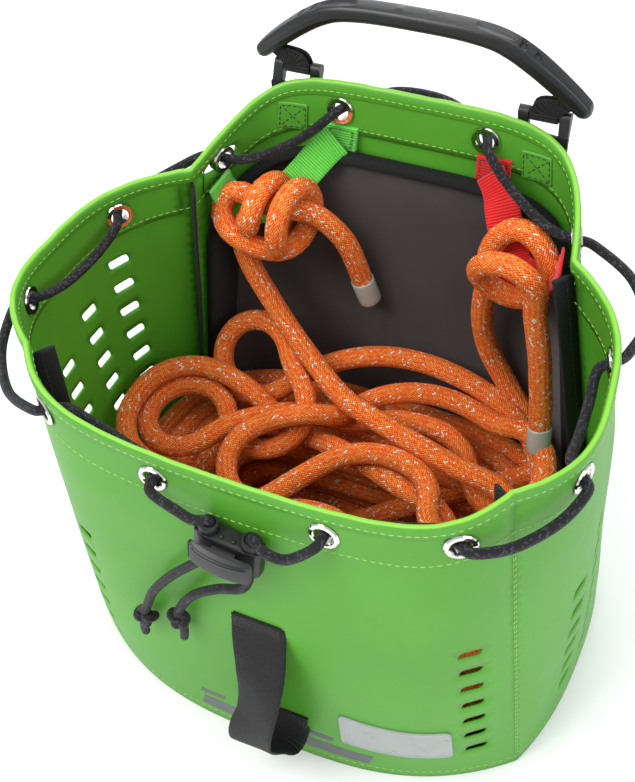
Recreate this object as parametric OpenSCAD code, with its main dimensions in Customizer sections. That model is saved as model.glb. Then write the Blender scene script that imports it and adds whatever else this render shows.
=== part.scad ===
// Open-mouthed rope storage bag with a laced mouth, a swinging carry handle
// and a rope tied to two webbing loops. Millimetres, +Z up, the front faces -Y.
// The origin is the middle of the base's underside.

/* [Bag body] */
// Height of the mouth at its four corners
corner_height = 235; // [210:1:260]
// Dip of the front edge of the mouth below its corners
front_dip = 23; // [10:1:35]
// Dip of each side edge of the mouth below its corners
side_dip = 7; // [0:1:15]
// Rise of the back edge of the mouth above its corners
back_rise = 28; // [20:1:34]
// Half width of the base at its front corners
base_front_half = 130; // [120:1:140]
// Half width of the base at its back corners
base_back_half = 134; // [124:1:144]
// Half width of the mouth at its front corners
mouth_front_half = 117; // [110:1:124]
// Half width of the mouth at its back corners
mouth_back_half = 102; // [98:1:108]
// Thickness of the coated fabric
fabric_t = 1.2; // [0.8:0.1:1.6]
// Depth of the stitched hem below the edge of the mouth
hem_depth = 28; // [24:1:32]
// Thickness of the padded back
pad_t = 5.2; // [4:0.2:6]

/* [Closure] */
// Diameter of the drawcord
cord_d = 5; // [4:0.5:5.5]
// Outer diameter of an eyelet
eyelet_d = 15; // [14:0.5:15.5]
// Distance from the edge of the mouth to the middle of an eyelet
eyelet_drop = 15; // [15:0.5:18]
// Width of the cord lock
lock_w = 34; // [32:1:36]
// Height of the cord lock
lock_h = 18; // [16:1:20]
// Travel of the cord lock's button
button_travel = 2.5; // [1.5:0.5:3]

/* [Carrying] */
// Half distance between the two handle anchors
anchor_x = 66; // [62:1:70]
// Height of the handle's hinge line
hinge_z = 263; // [262:0.5:266]
// Rise of the grip's middle above the hinge line
grip_rise = 40; // [34:1:46]
// Width of the grip from front to back
grip_depth = 12; // [10:1:14]
// Width of the front grab loop's webbing
loop_w = 30; // [25:1:32]

/* [Rope] */
// Diameter of the rope
rope_d = 12; // [10:0.5:13]
// Height of the rope pile's top
pile_top = 106; // [80:1:108]

/* [Hidden] */

lime = [0.42, 0.74, 0.25];
bright_lime = [0.55, 0.83, 0.25];
black = [0.06, 0.06, 0.07];
charcoal = [0.22, 0.21, 0.22];
orange = [0.95, 0.38, 0.1];

// Sides are numbered 0 front, 1 right, 2 back, 3 left, and run anticlockwise from above.
FRONT = 0;
RIGHT = 1;
BACK = 2;
LEFT = 3;
base_corners = [[-base_front_half, -77], [base_front_half, -77],
    [base_back_half, 60], [-base_back_half, 60]];
mouth_corners = [[-mouth_front_half, -70], [mouth_front_half, -70],
    [mouth_back_half, 64], [-mouth_back_half, 64]];
// How far each side bulges outward at its middle, and how squarely it does so
base_bulge = [39, 11, 30, 9];
mouth_bulge = [23, 29, 58, 41];
base_square = [3, 2.4, 2.4, 2.4];
mouth_square = [8, 3, 9, 3];
mouth_lift = [-front_dip, -side_dip, back_rise, -side_dip];
lift_square = [2.5, 2.5, 4, 2.5];
steps = [14, 10, 16, 10];

half_t = fabric_t / 2;
// Room between two layers, which keeps their flat facets apart where the wall curves
ply_gap = 0.4;
hem_out = -half_t - ply_gap;
hem_in = hem_out - 1;
pad_out = hem_out - 2;
pad_in = pad_out - pad_t;
lip = 7;
lip_t = 0.8;
lip_gap = 0.2;
pad_drop = 38;

function lerp(a, b, t) = a + (b - a) * t;
function unit(v) = v / norm(v);
function hump(s, square) = 1 - pow(abs(2 * s - 1), square);
function corner(i, t) = lerp(base_corners[i % 4], mouth_corners[i % 4], t);
function edge_z(k, s) = corner_height + mouth_lift[k] * hump(s, lift_square[k]);

// Plan position of the fabric's middle on side k, at s along it and t of its height
function plan(k, s, t) =
    let (a = corner(k, t), b = corner(k + 1, t), d = unit(b - a))
    a + (b - a) * s + [d.y, -d.x] * lerp(base_bulge[k], mouth_bulge[k], t)
        * hump(s, lerp(base_square[k], mouth_square[k], t));

// Columns of points round the whole bag, closer together near the corners
columns = [for (k = [0:3]) for (j = [0:steps[k] - 1]) [k, (1 - cos(180 * j / steps[k])) / 2]];
count = len(columns);
first = [0, steps[0], steps[0] + steps[1], steps[0] + steps[1] + steps[2]];
function col(i) = columns[(i + count) % count];
function col_edge(i) = edge_z(col(i)[0], col(i)[1]);
function col_plan(i, t) = plan(col(i)[0], col(i)[1], t);
function col_out(i, t) = let (d = unit(col_plan(i + 1, t) - col_plan(i - 1, t))) [d.y, -d.x];
function place(i, z, off) =
    let (t = z / col_edge(i), p = col_plan(i, t) + col_out(i, t) * off) [p.x, p.y, z];

// A point of the fabric's middle, and the local frame there
function spot(k, s, z) = let (p = plan(k, s, z / edge_z(k, s))) [p.x, p.y, z];
function along(k, s, z) = unit(spot(k, s + 0.01, z) - spot(k, s - 0.01, z));
function up_wall(k, s, z) = unit(spot(k, s, z + 1) - spot(k, s, z - 1));
function facing(k, s, z) = unit(cross(along(k, s, z), up_wall(k, s, z)));

// Rows of facets up the height of the wall's long layers
wall_rows = 12;
function two_triangles(a, b, c, d) = [[a, b, c], [a, c, d]];

// Sweeps a cross-section round columns a to b. A section point [off, f, d] stands
// off from the fabric's middle, at f of the edge's height plus d.
module sweep(section, a, b, closed = false) {
    m = len(section);
    n = b - a + (closed ? 0 : 1);
    points = [for (i = [0:n - 1]) for (q = section)
        place(a + i, q[1] * col_edge(a + i) + q[2], q[0])];
    sides = [for (i = [0:closed ? n - 1 : n - 2]) for (j = [0:m - 1])
        each two_triangles(i * m + j, i * m + (j + 1) % m,
            ((i + 1) % n) * m + (j + 1) % m, ((i + 1) % n) * m + j)];
    last = (n - 1) * m;
    caps = closed ? [] : [for (j = [0:m / 2 - 2]) let (k = m - 1 - j)
        each concat(two_triangles(j, k, k - 1, j + 1),
            two_triangles(last + j, last + j + 1, last + k - 1, last + k))];
    polyhedron(points, concat(sides, caps));
}

// Rows of section points up the outside and down the inside of a layer
function layer(outer, inner, f0, d0, f1, d1, rows) = concat(
    [for (r = [0:rows]) [outer, lerp(f0, f1, r / rows), lerp(d0, d1, r / rows)]],
    [for (r = [rows:-1:0]) [inner, lerp(f0, f1, r / rows), lerp(d0, d1, r / rows)]]);

// Puts children on the wall: X along it, Y up it, Z out of it
module on_wall(k, s, z, off = 0) {
    x = along(k, s, z);
    n = facing(k, s, z);
    y = cross(n, x);
    o = spot(k, s, z) + n * off;
    multmatrix([[x.x, y.x, n.x, o.x], [x.y, y.y, n.y, o.y], [x.z, y.z, n.z, o.z]]) children();
}

// A thin sheet that follows the wall, between two places along it and two heights
module wall_patch(k, s0, s1, z0, z1, off, t, n = 6) {
    points = [for (i = [0:n]) for (q = [[z0, off + t], [z1, off + t], [z1, off], [z0, off]])
        let (s = lerp(s0, s1, i / n)) spot(k, s, q.x) + facing(k, s, q.x) * q.y];
    sides = [for (i = [0:n - 1]) for (j = [0:3])
        each two_triangles(i * 4 + j, i * 4 + (j + 1) % 4, (i + 1) * 4 + (j + 1) % 4, (i + 1) * 4 + j)];
    polyhedron(points, concat(sides, two_triangles(3, 2, 1, 0),
        two_triangles(n * 4, n * 4 + 1, n * 4 + 2, n * 4 + 3)));
}

// A round tube swept along a list of points
module tube(p, d, ref = [0, 0, 1], sides = 8) {
    n = len(p);
    points = [for (i = [0:n - 1])
        let (t = unit(p[min(i + 1, n - 1)] - p[max(i - 1, 0)]), u = unit(cross(t, ref)), v = cross(u, t))
        for (a = [0:sides - 1]) p[i] + d / 2 * (cos(360 * a / sides) * u + sin(360 * a / sides) * v)];
    skin = [for (i = [0:n - 2]) for (a = [0:sides - 1])
        each two_triangles(i * sides + a, i * sides + (a + 1) % sides,
            (i + 1) * sides + (a + 1) % sides, (i + 1) * sides + a)];
    polyhedron(points, concat(skin, [[for (a = [sides - 1:-1:0]) a]],
        [[for (a = [0:sides - 1]) (n - 1) * sides + a]]));
}

// Flat webbing swept along a list of points; its broad face looks along each point's face
module webbing(p, w, t, faces) {
    n = len(p);
    points = [for (i = [0:n - 1])
        let (d = unit(p[min(i + 1, n - 1)] - p[max(i - 1, 0)]),
            x = unit(cross(d, faces[i])) * w / 2, y = unit(cross(x, d)) * t / 2)
        each [p[i] - x - y, p[i] + x - y, p[i] + x + y, p[i] - x + y]];
    skin = [for (i = [0:n - 2]) for (a = [0:3])
        each two_triangles(i * 4 + a, i * 4 + (a + 1) % 4, (i + 1) * 4 + (a + 1) % 4, (i + 1) * 4 + a)];
    polyhedron(points, concat(skin, [[3, 2, 1, 0]], [[for (a = [0:3]) (n - 1) * 4 + a]]));
}

// ---- Eyelets: side and place along it, in the order in which the cord is laced
eyelets_at = [[FRONT, 0.68], [FRONT, 0.93], [RIGHT, 0.22], [RIGHT, 0.72], [BACK, 0.03],
    [BACK, 0.31], [BACK, 0.69], [BACK, 0.97], [LEFT, 0.2], [LEFT, 0.73], [FRONT, 0.07],
    [FRONT, 0.32]];
eyelet_bore = 4.8;
barrel_r = 5.3;
function eyelet_z(e) = edge_z(e[0], e[1]) - eyelet_drop;

module at_eyelets(side = -1)
    for (e = eyelets_at) if (side < 0 || side == e[0]) on_wall(e[0], e[1], eyelet_z(e)) children();

module eyelet_holes(side) at_eyelets(side)
    translate([0, 0, -5]) cylinder(r = barrel_r + 0.1, h = 10, $fn = 32);

// ---- Vents: [side, s, highest z, number, pitch, width, height]
vents = [[FRONT, 0.1, 124, 7, 16, 10, 6], [FRONT, 0.935, 128, 7, 16, 10, 6],
    [RIGHT, 0.3, 118, 6, 18, 13.5, 6.5], [RIGHT, 0.5, 134, 7, 18, 13.5, 6.5],
    [RIGHT, 0.72, 150, 7, 18, 13.5, 6.5], [LEFT, 0.24, 184, 7, 18, 13.5, 6.5],
    [LEFT, 0.43, 167, 7, 18, 13.5, 6.5], [LEFT, 0.625, 150, 7, 18, 13.5, 6.5]];
vent_lean = 0.25;

module vent_holes(side)
    for (v = vents) if (v[0] == side) for (j = [0:v[3] - 1])
        on_wall(side, v[1], v[2] - j * v[4], -5) linear_extrude(10)
            polygon([for (q = [[-1, -1], [1, -1], [1, 1], [-1, 1]])
                [(q.x + vent_lean * q.y) * v[5] / 2, q.y * v[6] / 2]]);

// One wall panel from the base to the mouth
module wall(side) difference() {
    sweep(layer(half_t, -half_t, 0, fabric_t, 1, 0, wall_rows), first[side], first[side] + steps[side]);
    eyelet_holes(side);
    vent_holes(side);
}

module front_panel() color(lime) wall(FRONT);
module right_panel() color(lime) wall(RIGHT);
module back_panel() color(lime) wall(BACK);
module left_panel() color(lime) wall(LEFT);

function outline(off) = [for (i = [0:count - 1]) let (p = place(i, fabric_t, off)) [p.x, p.y]];

module base_panel() color(lime) linear_extrude(fabric_t) polygon(outline(half_t));

module base_board() color(charcoal)
    translate([0, 0, fabric_t]) linear_extrude(2.5) polygon(outline(-3));

// ---- Mouth: hem pieces between the corner strips, and the folded binding on the edge
module hem_band() color(lime) difference() {
    for (k = [0:3])
        sweep(layer(hem_out, hem_in, 1, -hem_depth, 1, 0, 2),
            first[k] + 1, first[k] + steps[k] - 1);
    eyelet_holes(-1);
}

module rim_binding() color(bright_lime)
    let (a = half_t + lip_gap, b = hem_in - lip_gap, top = lip_gap)
    sweep([[a + lip_t, 1, -lip], [a + lip_t, 1, top + lip_t],
        [b - lip_t, 1, top + lip_t], [b - lip_t, 1, -lip],
        [b, 1, -lip], [b, 1, top], [a, 1, top], [a, 1, -lip]], 0, count, true);

// The seam inside each corner, bound with tape, stands into the bag like a fin
strip_w = 11.5;
strip_t = 2.2;
strip_rows = 6;
// The back fins lean away from the pad
strip_turn = [0, 0, 22, -22];
function turned(v, a) = [v.x * cos(a) - v.y * sin(a), v.x * sin(a) + v.y * cos(a), 0];
module corner_strip(k) color(black) {
    points = [for (r = [0:strip_rows]) let (z = lerp(4.2, corner_height - lip - 1, r / strip_rows),
            n = turned(col_out(first[k], z / corner_height), strip_turn[k]),
            side = [-n.y, n.x, 0] * strip_t / 2,
            a = place(first[k], z, hem_out - 0.3), b = a - n * (strip_w - 0.3))
        each [a - side, b - side, b + side, a + side]];
    skin = [for (r = [0:strip_rows - 1]) for (j = [0:3])
        each two_triangles(r * 4 + j, r * 4 + (j + 1) % 4, (r + 1) * 4 + (j + 1) % 4, (r + 1) * 4 + j)];
    polyhedron(points, concat(skin, [[3, 2, 1, 0]], [[for (j = [0:3]) strip_rows * 4 + j]]));
}
module corner_strip_front_left() corner_strip(0);
module corner_strip_front_right() corner_strip(1);
module corner_strip_back_right() corner_strip(2);
module corner_strip_back_left() corner_strip(3);

// ---- Padded back and its bound edge
module back_pad() color(charcoal)
    sweep(layer(pad_out, pad_in, 0, 5, 1, -pad_drop, wall_rows), first[2] + 1, first[3] - 1);

binding_w = 11;
module binding_tape(f0, d0, d1, rows, a, b)
    sweep(layer(pad_in - 0.4, pad_in - 1.2, f0, d0, 1, d1, rows), a, b);
module pad_binding() color(black) {
    binding_tape(1, -pad_drop - binding_w, -pad_drop, 2, first[2] + 1, first[3] - 1);
    for (a = [first[2] + 1, first[3] - 4])
        binding_tape(0, 5, -pad_drop - binding_w, wall_rows, a, a + 3);
}

// ---- Eyelets and the washers that they are set against
flange_t = 1;
washer_in = hem_in - 1.6;
module eyelets() color("silver") at_eyelets() rotate_extrude($fn = 48)
    polygon([[eyelet_bore, washer_in - 0.1], [barrel_r, washer_in - 0.1], [barrel_r, half_t + 0.3],
        [eyelet_d / 2, half_t + 0.3], [eyelet_d / 2 - 0.6, half_t + flange_t],
        [eyelet_bore + 0.5, half_t + flange_t + 0.2], [eyelet_bore, half_t + flange_t - 0.4]]);

module eyelet_washers() color("silver") at_eyelets() rotate_extrude($fn = 48)
    polygon([[barrel_r + 0.1, washer_in], [eyelet_d / 2 - 0.4, washer_in],
        [eyelet_d / 2, washer_in + 0.7], [barrel_r + 0.1, washer_in + 0.7]]);

// ---- Drawcord: [which side of the fabric, how far it bows, how far it rises] per span
INSIDE = -1;
OUTSIDE = 1;
spans = [[INSIDE, 2, -3], [OUTSIDE, 6, -4], [INSIDE, 0, -5], [OUTSIDE, 15, -2], [INSIDE, 2, -4],
    [OUTSIDE, 9, 10], [INSIDE, 2, -4], [OUTSIDE, 4, -2], [INSIDE, 0, -6], [OUTSIDE, 13, -8],
    [INSIDE, 2, -3]];
cord_clear = 7.1;
function eyelet_p(j) = spot(eyelets_at[j][0], eyelets_at[j][1], eyelet_z(eyelets_at[j]));
function eyelet_n(j) = facing(eyelets_at[j][0], eyelets_at[j][1], eyelet_z(eyelets_at[j]));
function span_points(j) =
    let (s = spans[j], a = eyelet_p(j), b = eyelet_p(j + 1), t = unit(b - a),
        na = eyelet_n(j) * s[0], nb = eyelet_n(j + 1) * s[0],
        a1 = a + na * cord_clear + t * 5, b1 = b + nb * cord_clear - t * 5,
        bow = unit(na + nb) * s[1] + [0, 0, s[2]])
    [a, a1, lerp(a1, b1, 0.3) + bow * 0.8, lerp(a1, b1, 0.7) + bow * 0.8, b1];

module drawcord() color(black)
    tube(concat([for (j = [0:len(spans) - 1]) each span_points(j)], [eyelet_p(11)]), cord_d);

// ---- Cord lock: local X across it, Y up the wall, Z out of the wall
lock_s = 0.49;
lock_z = 176;
wall_lean = 6.2;
lock_turn = -7;
housing_d = 11;
bore_x = 10.5;
bore_z = 5.5;
slot_w = 12.4;
lock_p = spot(FRONT, lock_s, lock_z) + [0, -1.8, 0];

// A point given in the lock's own frame, in the bag's frame
function lock_point(p) =
    let (c = cos(lock_turn), s = sin(lock_turn),
        q = [c * p.x - s * p.y, s * p.x + c * p.y, p.z])
    lock_p + [q.x, q.y * sin(wall_lean) - q.z * cos(wall_lean),
        q.y * cos(wall_lean) + q.z * sin(wall_lean)];

module lock_frame()
    translate(lock_p) rotate([90 - wall_lean, 0, 0]) rotate([0, 0, lock_turn]) children();

module cord_lock_housing() color(black) lock_frame() difference() {
    union() {
        translate([-lock_w / 2 + 4, -lock_h / 2, 0]) cube([lock_w - 8, lock_h, housing_d]);
        for (x = [-1, 1]) translate([x * (lock_w / 2 - 5.5), 0, 5.5]) rotate([90, 0, 0])
            cylinder(r = 5.5, h = lock_h, center = true, $fn = 48);
    }
    for (x = [-1, 1]) translate([x * bore_x, 0, bore_z]) rotate([90, 0, 0])
        cylinder(d = cord_d + 0.6, h = lock_h + 2, center = true, $fn = 32);
    translate([-slot_w / 2, -6, 1.8]) cube([slot_w, 12, housing_d]);
}

pad_gap = button_travel + 0.4;
module cord_lock_button() color(black) lock_frame() {
    translate([-slot_w / 2 + 0.3, -5.7, 5.6]) cube([slot_w - 0.6, 11.4, housing_d + pad_gap - 5.4]);
    translate([0, 0, housing_d + pad_gap]) difference() {
        intersection() {
            translate([-lock_w / 2 + 0.5, -7.5, 0]) cube([lock_w - 1, 15, 5]);
            translate([0, 0, -45]) rotate([90, 0, 0]) cylinder(r = 49.6, h = 20, center = true, $fn = 120);
        }
        translate([-lock_w / 2 + 4, 5, 3.2]) cube([lock_w - 8, 0.8, 3]);
    }
}

// Compression spring behind the button: a wire wound in even turns
spring_r = 2.4;
spring_turns = 3;
spring_len = 3;
module cord_lock_spring() color("silver") lock_frame()
    tube([for (a = [0:30:360 * spring_turns])
        [spring_r * cos(a), spring_r * sin(a), 2.15 + spring_len * a / (360 * spring_turns)]], 0.5,
        sides = 6);

// Leads from the two middle front eyelets into the top of the lock
module drawcord_lead_left() color(black)
    tube([eyelet_p(11), eyelet_p(11) + [2, -7, -1], [-26, -104, 193], [-18, -105, 192],
        lock_point([-bore_x, lock_h / 2 + 4, bore_z]), lock_point([-bore_x, 0, bore_z])], cord_d, [1, 0.3, 0]);
module drawcord_lead_right() color(black)
    tube([eyelet_p(0), eyelet_p(0) + [-2, -7, -2], [28, -106, 187], [18, -107, 189],
        lock_point([bore_x, lock_h / 2 + 4, bore_z]), lock_point([bore_x, 0, bore_z])], cord_d, [1, 0.3, 0]);

// Tails from under the lock to the knots that stop them
knot_left = [-60, -113.5, 92];
knot_right = [-38, -113.5, 104];
module drawcord_tail_left() color(black)
    tube([lock_point([-bore_x, 0, bore_z]), lock_point([-bore_x, -lock_h / 2 - 4, bore_z]),
        [-25, -108, 154], [-38, -110, 139], [-50, -112, 121], [-57, -113, 104], knot_left + [0, 0, 5]],
        cord_d, [1, 0, 0.3]);
module drawcord_tail_right() color(black)
    tube([lock_point([bore_x, 0, bore_z]), lock_point([bore_x, -lock_h / 2 - 4, bore_z]),
        [2, -108, 150], [-12, -109, 142], [-25, -111, 132], [-34, -112, 118], knot_right + [0, 0, 5]],
        cord_d, [1, 0, 0.3]);

// An overhand knot in the drawcord and the short end below it
module cord_knot(p, lean) color(black) translate(p) rotate([0, lean, 0]) {
    scale([7, 5.5, 7.5]) sphere(1, $fn = 16);
    translate([0, 0, -20]) cylinder(d = cord_d, h = 16, $fn = 16);
}
module drawcord_knot_left() cord_knot(knot_left, 12);
module drawcord_knot_right() cord_knot(knot_right, 2);

// ---- Front grab loop
loop_x = 4;
loop_s = 0.5 + loop_x / (2 * base_front_half);
loop_path = [[-2.6, 112], [-4, 104], [-12, 93], [-19, 80], [-24, 62], [-26, 46], [-23, 33],
    [-16, 25], [-8, 22], [-3.4, 27], [-2.6, 34]];
loop_t = 1.8;
function loop_wall_y(z) = spot(FRONT, loop_s, z).y;
function loop_pt(q) = [loop_wall_y(q.y) + q.x, q.y];
function loop_side(i, off) =
    let (n = len(loop_path), d = unit(loop_pt(loop_path[min(i + 1, n - 1)]) - loop_pt(loop_path[max(i - 1, 0)])))
    loop_pt(loop_path[i]) + [d.y, -d.x] * off;
module front_loop() color(black)
    translate([loop_x - loop_w / 2, 0, 0]) rotate([90, 0, 90]) linear_extrude(loop_w)
        polygon(concat([for (i = [0:len(loop_path) - 1]) loop_side(i, loop_t / 2)],
            [for (i = [len(loop_path) - 1:-1:0]) loop_side(i, -loop_t / 2)]));

// The loop's sewn ends, flat on the fabric
module loop_tab(z, h) color(black) on_wall(FRONT, loop_s, z, half_t + 0.1)
    translate([-loop_w / 2, -h / 2, 0]) cube([loop_w, h, 1]);
module front_loop_tab_top() loop_tab(111, 12);
module front_loop_tab_bottom() loop_tab(31, 14);

module id_window() color([0.75, 0.77, 0.78])
    wall_patch(FRONT, 0.675, 0.895, 28, 56, half_t + 0.3, 0.8, 12);

// ---- Handle: anchors outside the back wall, straps and grip on one hinge line
hinge_y = 127.5;
bar_r = 2.1;
anchor_s = 0.5 - anchor_x / (2 * mouth_back_half);
strap_w = 14;
plate_off = half_t + lip_gap + lip_t + 0.1;
module handle_anchor(sign) color(black) {
    s = 0.5 - sign * (0.5 - anchor_s);
    on_wall(BACK, s, 250, plate_off) translate([-13, -12, 0]) cube([26, 18, 1.4]);
    for (e = [-1, 1]) hull() {
        on_wall(BACK, s, 250, plate_off) translate([-e * 10.2 - 2.4, -4, 0.4]) cube([4.8, 9, 1]);
        translate([sign * anchor_x + e * 10.4, hinge_y, hinge_z]) rotate([0, 90, 0])
            cylinder(r = 3, h = 5.2, center = true, $fn = 32);
    }
    translate([sign * anchor_x, hinge_y, hinge_z]) rotate([0, 90, 0])
        cylinder(r = bar_r, h = 18, center = true, $fn = 32);
}
module handle_anchor_left() handle_anchor(-1);
module handle_anchor_right() handle_anchor(1);

// Reinforcement sewn inside the wall behind each anchor
module anchor_patch(sign) color(lime)
    let (s = 0.5 - sign * (0.5 - anchor_s), z = edge_z(BACK, anchor_s), w = 11 / (2 * mouth_back_half))
    wall_patch(BACK, s - w, s + w, z - 26.5, z - 11.5, hem_in - 1.7, 0.8);
module anchor_patch_left() anchor_patch(-1);
module anchor_patch_right() anchor_patch(1);

// Half of the grip's side outline, from the middle out: [x, bottom z, top z]
grip_top = hinge_z + grip_rise;
grip_half = [[0, grip_top - 4.5, grip_top + 4.5], [24, grip_top - 5, grip_top + 4],
    [44, grip_top - 7, grip_top + 1.5], [56, grip_top - 14, grip_top - 5],
    [72, grip_top - 26, grip_top - 17], [83, grip_top - 37, grip_top - 27]];
grip_end = [90, grip_top - 33];
function mirrored(list) = [for (i = [len(list) - 1:-1:0]) [-list[i].x, list[i].y]];
grip_upper = concat([for (g = grip_half) [g.x, g[2]]], [grip_end]);
grip_lower = [for (i = [len(grip_half) - 1:-1:0]) [grip_half[i].x, grip_half[i][1]]];
grip_right = concat(grip_upper, grip_lower);
grip_slot_x = 81.5;
grip_slot_turn = 45;
module handle_grip() color(black) difference() {
    translate([0, hinge_y + grip_depth / 2, 0]) rotate([90, 0, 0]) linear_extrude(grip_depth)
        polygon(concat(grip_right, mirrored(grip_right)));
    for (s = [-1, 1]) translate([s * grip_slot_x, hinge_y, grip_top - 31.5])
        rotate([0, s * grip_slot_turn, 0]) cube([3.6, 9.4, 24], center = true);
}

module handle_strap(sign) color(black) {
    translate([sign * anchor_x, hinge_y, hinge_z]) rotate([0, 90, 0]) difference() {
        cylinder(r = bar_r + 1.8, h = strap_w, center = true, $fn = 48);
        cylinder(r = bar_r + 0.1, h = strap_w + 1, center = true, $fn = 48);
    }
    hull() {
        translate([sign * anchor_x - strap_w / 2 + 0.4, hinge_y - 1, hinge_z + bar_r + 1.2])
            cube([strap_w - 0.8, 2, 1.4]);
        translate([sign * (grip_slot_x - 4.3), hinge_y, grip_top - 34.2])
            rotate([0, sign * grip_slot_turn, 0]) cube([2.4, 6.8, 3], center = true);
    }
    translate([sign * (grip_slot_x + 0.5), hinge_y, grip_top - 31])
        rotate([0, sign * grip_slot_turn, 0]) cube([2.8, 8.2, 8.6], center = true);
}
module handle_strap_left() handle_strap(-1);
module handle_strap_right() handle_strap(1);

// ---- Webbing loops for the rope's ends
strap_t = 1.6;
rope_loop_w = 18;
green_route = [[-40, 112, 233], [-46, 106, 228], [-56, 96, 216], [-66, 86, 206], [-78, 80, 202],
    [-87, 78, 206], [-92, 76, 214], [-93, 75, 221]];
red_route = [[44, 112, 233], [52, 104, 225], [60, 94, 210], [68, 85, 200], [79, 82, 198],
    [87, 79, 205], [92, 76, 214], [93, 75, 221]];
// The webbing starts flat on the back wall, hangs face forward and ends flat at the corner
function loop_faces(sign) = let (back = [0, -1, 0.1], free = [0.2, -0.7, 0.6], side = [-sign, -0.2, 0.1])
    [back, back, free, free, free, free + side, side, side];
module green_loop() color([0.3, 0.75, 0.2]) webbing(green_route, rope_loop_w, strap_t, loop_faces(-1));
module red_loop() color([0.85, 0.1, 0.1]) webbing(red_route, rope_loop_w, strap_t, loop_faces(1));
module loop_patch(x) on_wall(BACK, 0.5 - x / (2 * mouth_back_half), edge_z(BACK, 0.5) - 31, hem_in - 2)
    translate([-11, -7, 0]) cube([22, 14, 1.6]);
module green_loop_patch() color([0.3, 0.75, 0.2]) loop_patch(-38);
module red_loop_patch() color([0.85, 0.1, 0.1]) loop_patch(43);

// ---- Rope. The pile is one closed solid; the ends are tied to the two loops.
pile_bottom = 4;
module rope_pile() color(orange) intersection_for (z = [pile_bottom + 1, pile_top])
    translate([0, 0, pile_bottom]) linear_extrude(pile_top - pile_bottom)
        polygon([for (i = [0:2:count - 1]) let (p = place(i, z, pad_in - 5.2)) [p.x, p.y]]);

riser_green = [[-86, 74, 194], [-85, 73, 182], [-82, 72, 170], [-76, 70, 158], [-68, 67, 147],
    [-58, 62, 137], [-46, 56, 128], [-33, 49, 121], [-17, 40, 116], [7, 30, 114], [33, 23, 112],
    [58, 19, 110], [80, 15, 107]];
riser_red = [[54, 84, 190], [52, 84, 176], [51, 84, 162], [52, 84, 148], [56, 83, 134],
    [64, 81, 120], [74, 76, 109], [84, 68, 102]];
tail_green = [[-52, 83, 208], [-44, 84, 204], [-35, 86, 196], [-28, 88, 184], [-24, 89, 170],
    [-21, 90, 156], [-18, 91, 142]];
tail_red = [[80, 66, 208], [84, 63, 196], [88, 60, 182], [91, 57, 168], [93, 54, 154],
    [95, 51, 140], [96, 48, 126], [97, 45, 112]];

module rope_knot(p, size) color(orange) translate(p) scale(size / 2) sphere(1, $fn = 20);
// A heat-shrunk sleeve round the last stretch of a tail
module rope_sleeve(p) color([0.8, 0.8, 0.82])
    let (a = p[len(p) - 2], b = p[len(p) - 1], d = unit(b - a), h = norm(b - a))
    translate(a) rotate([0, acos(d.z), atan2(d.y, d.x)]) difference() {
        cylinder(d = rope_d + 1.2, h = h, $fn = 32);
        translate([0, 0, -1]) cylinder(d = rope_d + 0.2, h = h + 2, $fn = 32);
    }

module rope_riser_green() color(orange) tube(riser_green, rope_d, [0.5, 1, 0.2], 10);
module rope_riser_red() color(orange) tube(riser_red, rope_d, [0, 1, 0], 10);
module rope_tail_green() color(orange) tube(tail_green, rope_d, [0, 1, 0], 10);
module rope_tail_red() color(orange) tube(tail_red, rope_d, [1, 0, 0], 10);
module rope_knot_green() rope_knot([-70, 74.2, 205], [48, 31, 40]);
module rope_knot_red() rope_knot([70, 80, 203], [40, 34, 42]);
module rope_sleeve_green() rope_sleeve(tail_green);
module rope_sleeve_red() rope_sleeve(tail_red);

front_panel();
right_panel();
back_panel();
left_panel();
base_panel();
base_board();
hem_band();
rim_binding();
corner_strip_front_left();
corner_strip_front_right();
corner_strip_back_right();
corner_strip_back_left();
back_pad();
pad_binding();
eyelets();
eyelet_washers();
drawcord();
drawcord_lead_left();
drawcord_lead_right();
drawcord_tail_left();
drawcord_tail_right();
drawcord_knot_left();
drawcord_knot_right();
cord_lock_housing();
cord_lock_button();
cord_lock_spring();
front_loop();
front_loop_tab_top();
front_loop_tab_bottom();
id_window();
handle_grip();
handle_strap_left();
handle_strap_right();
handle_anchor_left();
handle_anchor_right();
anchor_patch_left();
anchor_patch_right();
green_loop();
green_loop_patch();
red_loop();
red_loop_patch();
rope_pile();
rope_riser_green();
rope_knot_green();
rope_tail_green();
rope_sleeve_green();
rope_riser_red();
rope_knot_red();
rope_tail_red();
rope_sleeve_red();
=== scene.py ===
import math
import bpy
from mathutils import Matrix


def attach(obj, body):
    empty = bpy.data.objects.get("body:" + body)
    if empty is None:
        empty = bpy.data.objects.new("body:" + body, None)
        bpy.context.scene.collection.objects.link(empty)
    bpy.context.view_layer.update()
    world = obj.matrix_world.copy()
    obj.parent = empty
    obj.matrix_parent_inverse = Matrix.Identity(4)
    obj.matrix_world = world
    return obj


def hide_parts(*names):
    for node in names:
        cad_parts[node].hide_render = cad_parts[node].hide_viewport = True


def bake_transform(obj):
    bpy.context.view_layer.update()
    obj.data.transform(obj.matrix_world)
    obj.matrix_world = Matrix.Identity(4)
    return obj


bl_info = {
    "name": "Rope Storage Bag",
    "version": (1, 0, 0),
    "blender": (4, 5, 0),
    "location": "3D View > Sidebar > Rope Bag",
    "description": "Sews, laces and fills a rope storage bag on its packed frame",
    "category": "Object",
}

import bmesh
import bpy
import numpy as np
from mathutils import Matrix, Vector
from mathutils.geometry import delaunay_2d_cdt

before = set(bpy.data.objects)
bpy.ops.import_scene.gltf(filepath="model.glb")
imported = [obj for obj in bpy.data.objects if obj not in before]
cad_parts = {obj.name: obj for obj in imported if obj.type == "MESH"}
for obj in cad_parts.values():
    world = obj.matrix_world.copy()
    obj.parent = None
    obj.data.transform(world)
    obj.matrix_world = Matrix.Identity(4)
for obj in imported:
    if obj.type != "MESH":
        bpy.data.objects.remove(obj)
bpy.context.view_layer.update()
MM = 0.001

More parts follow.
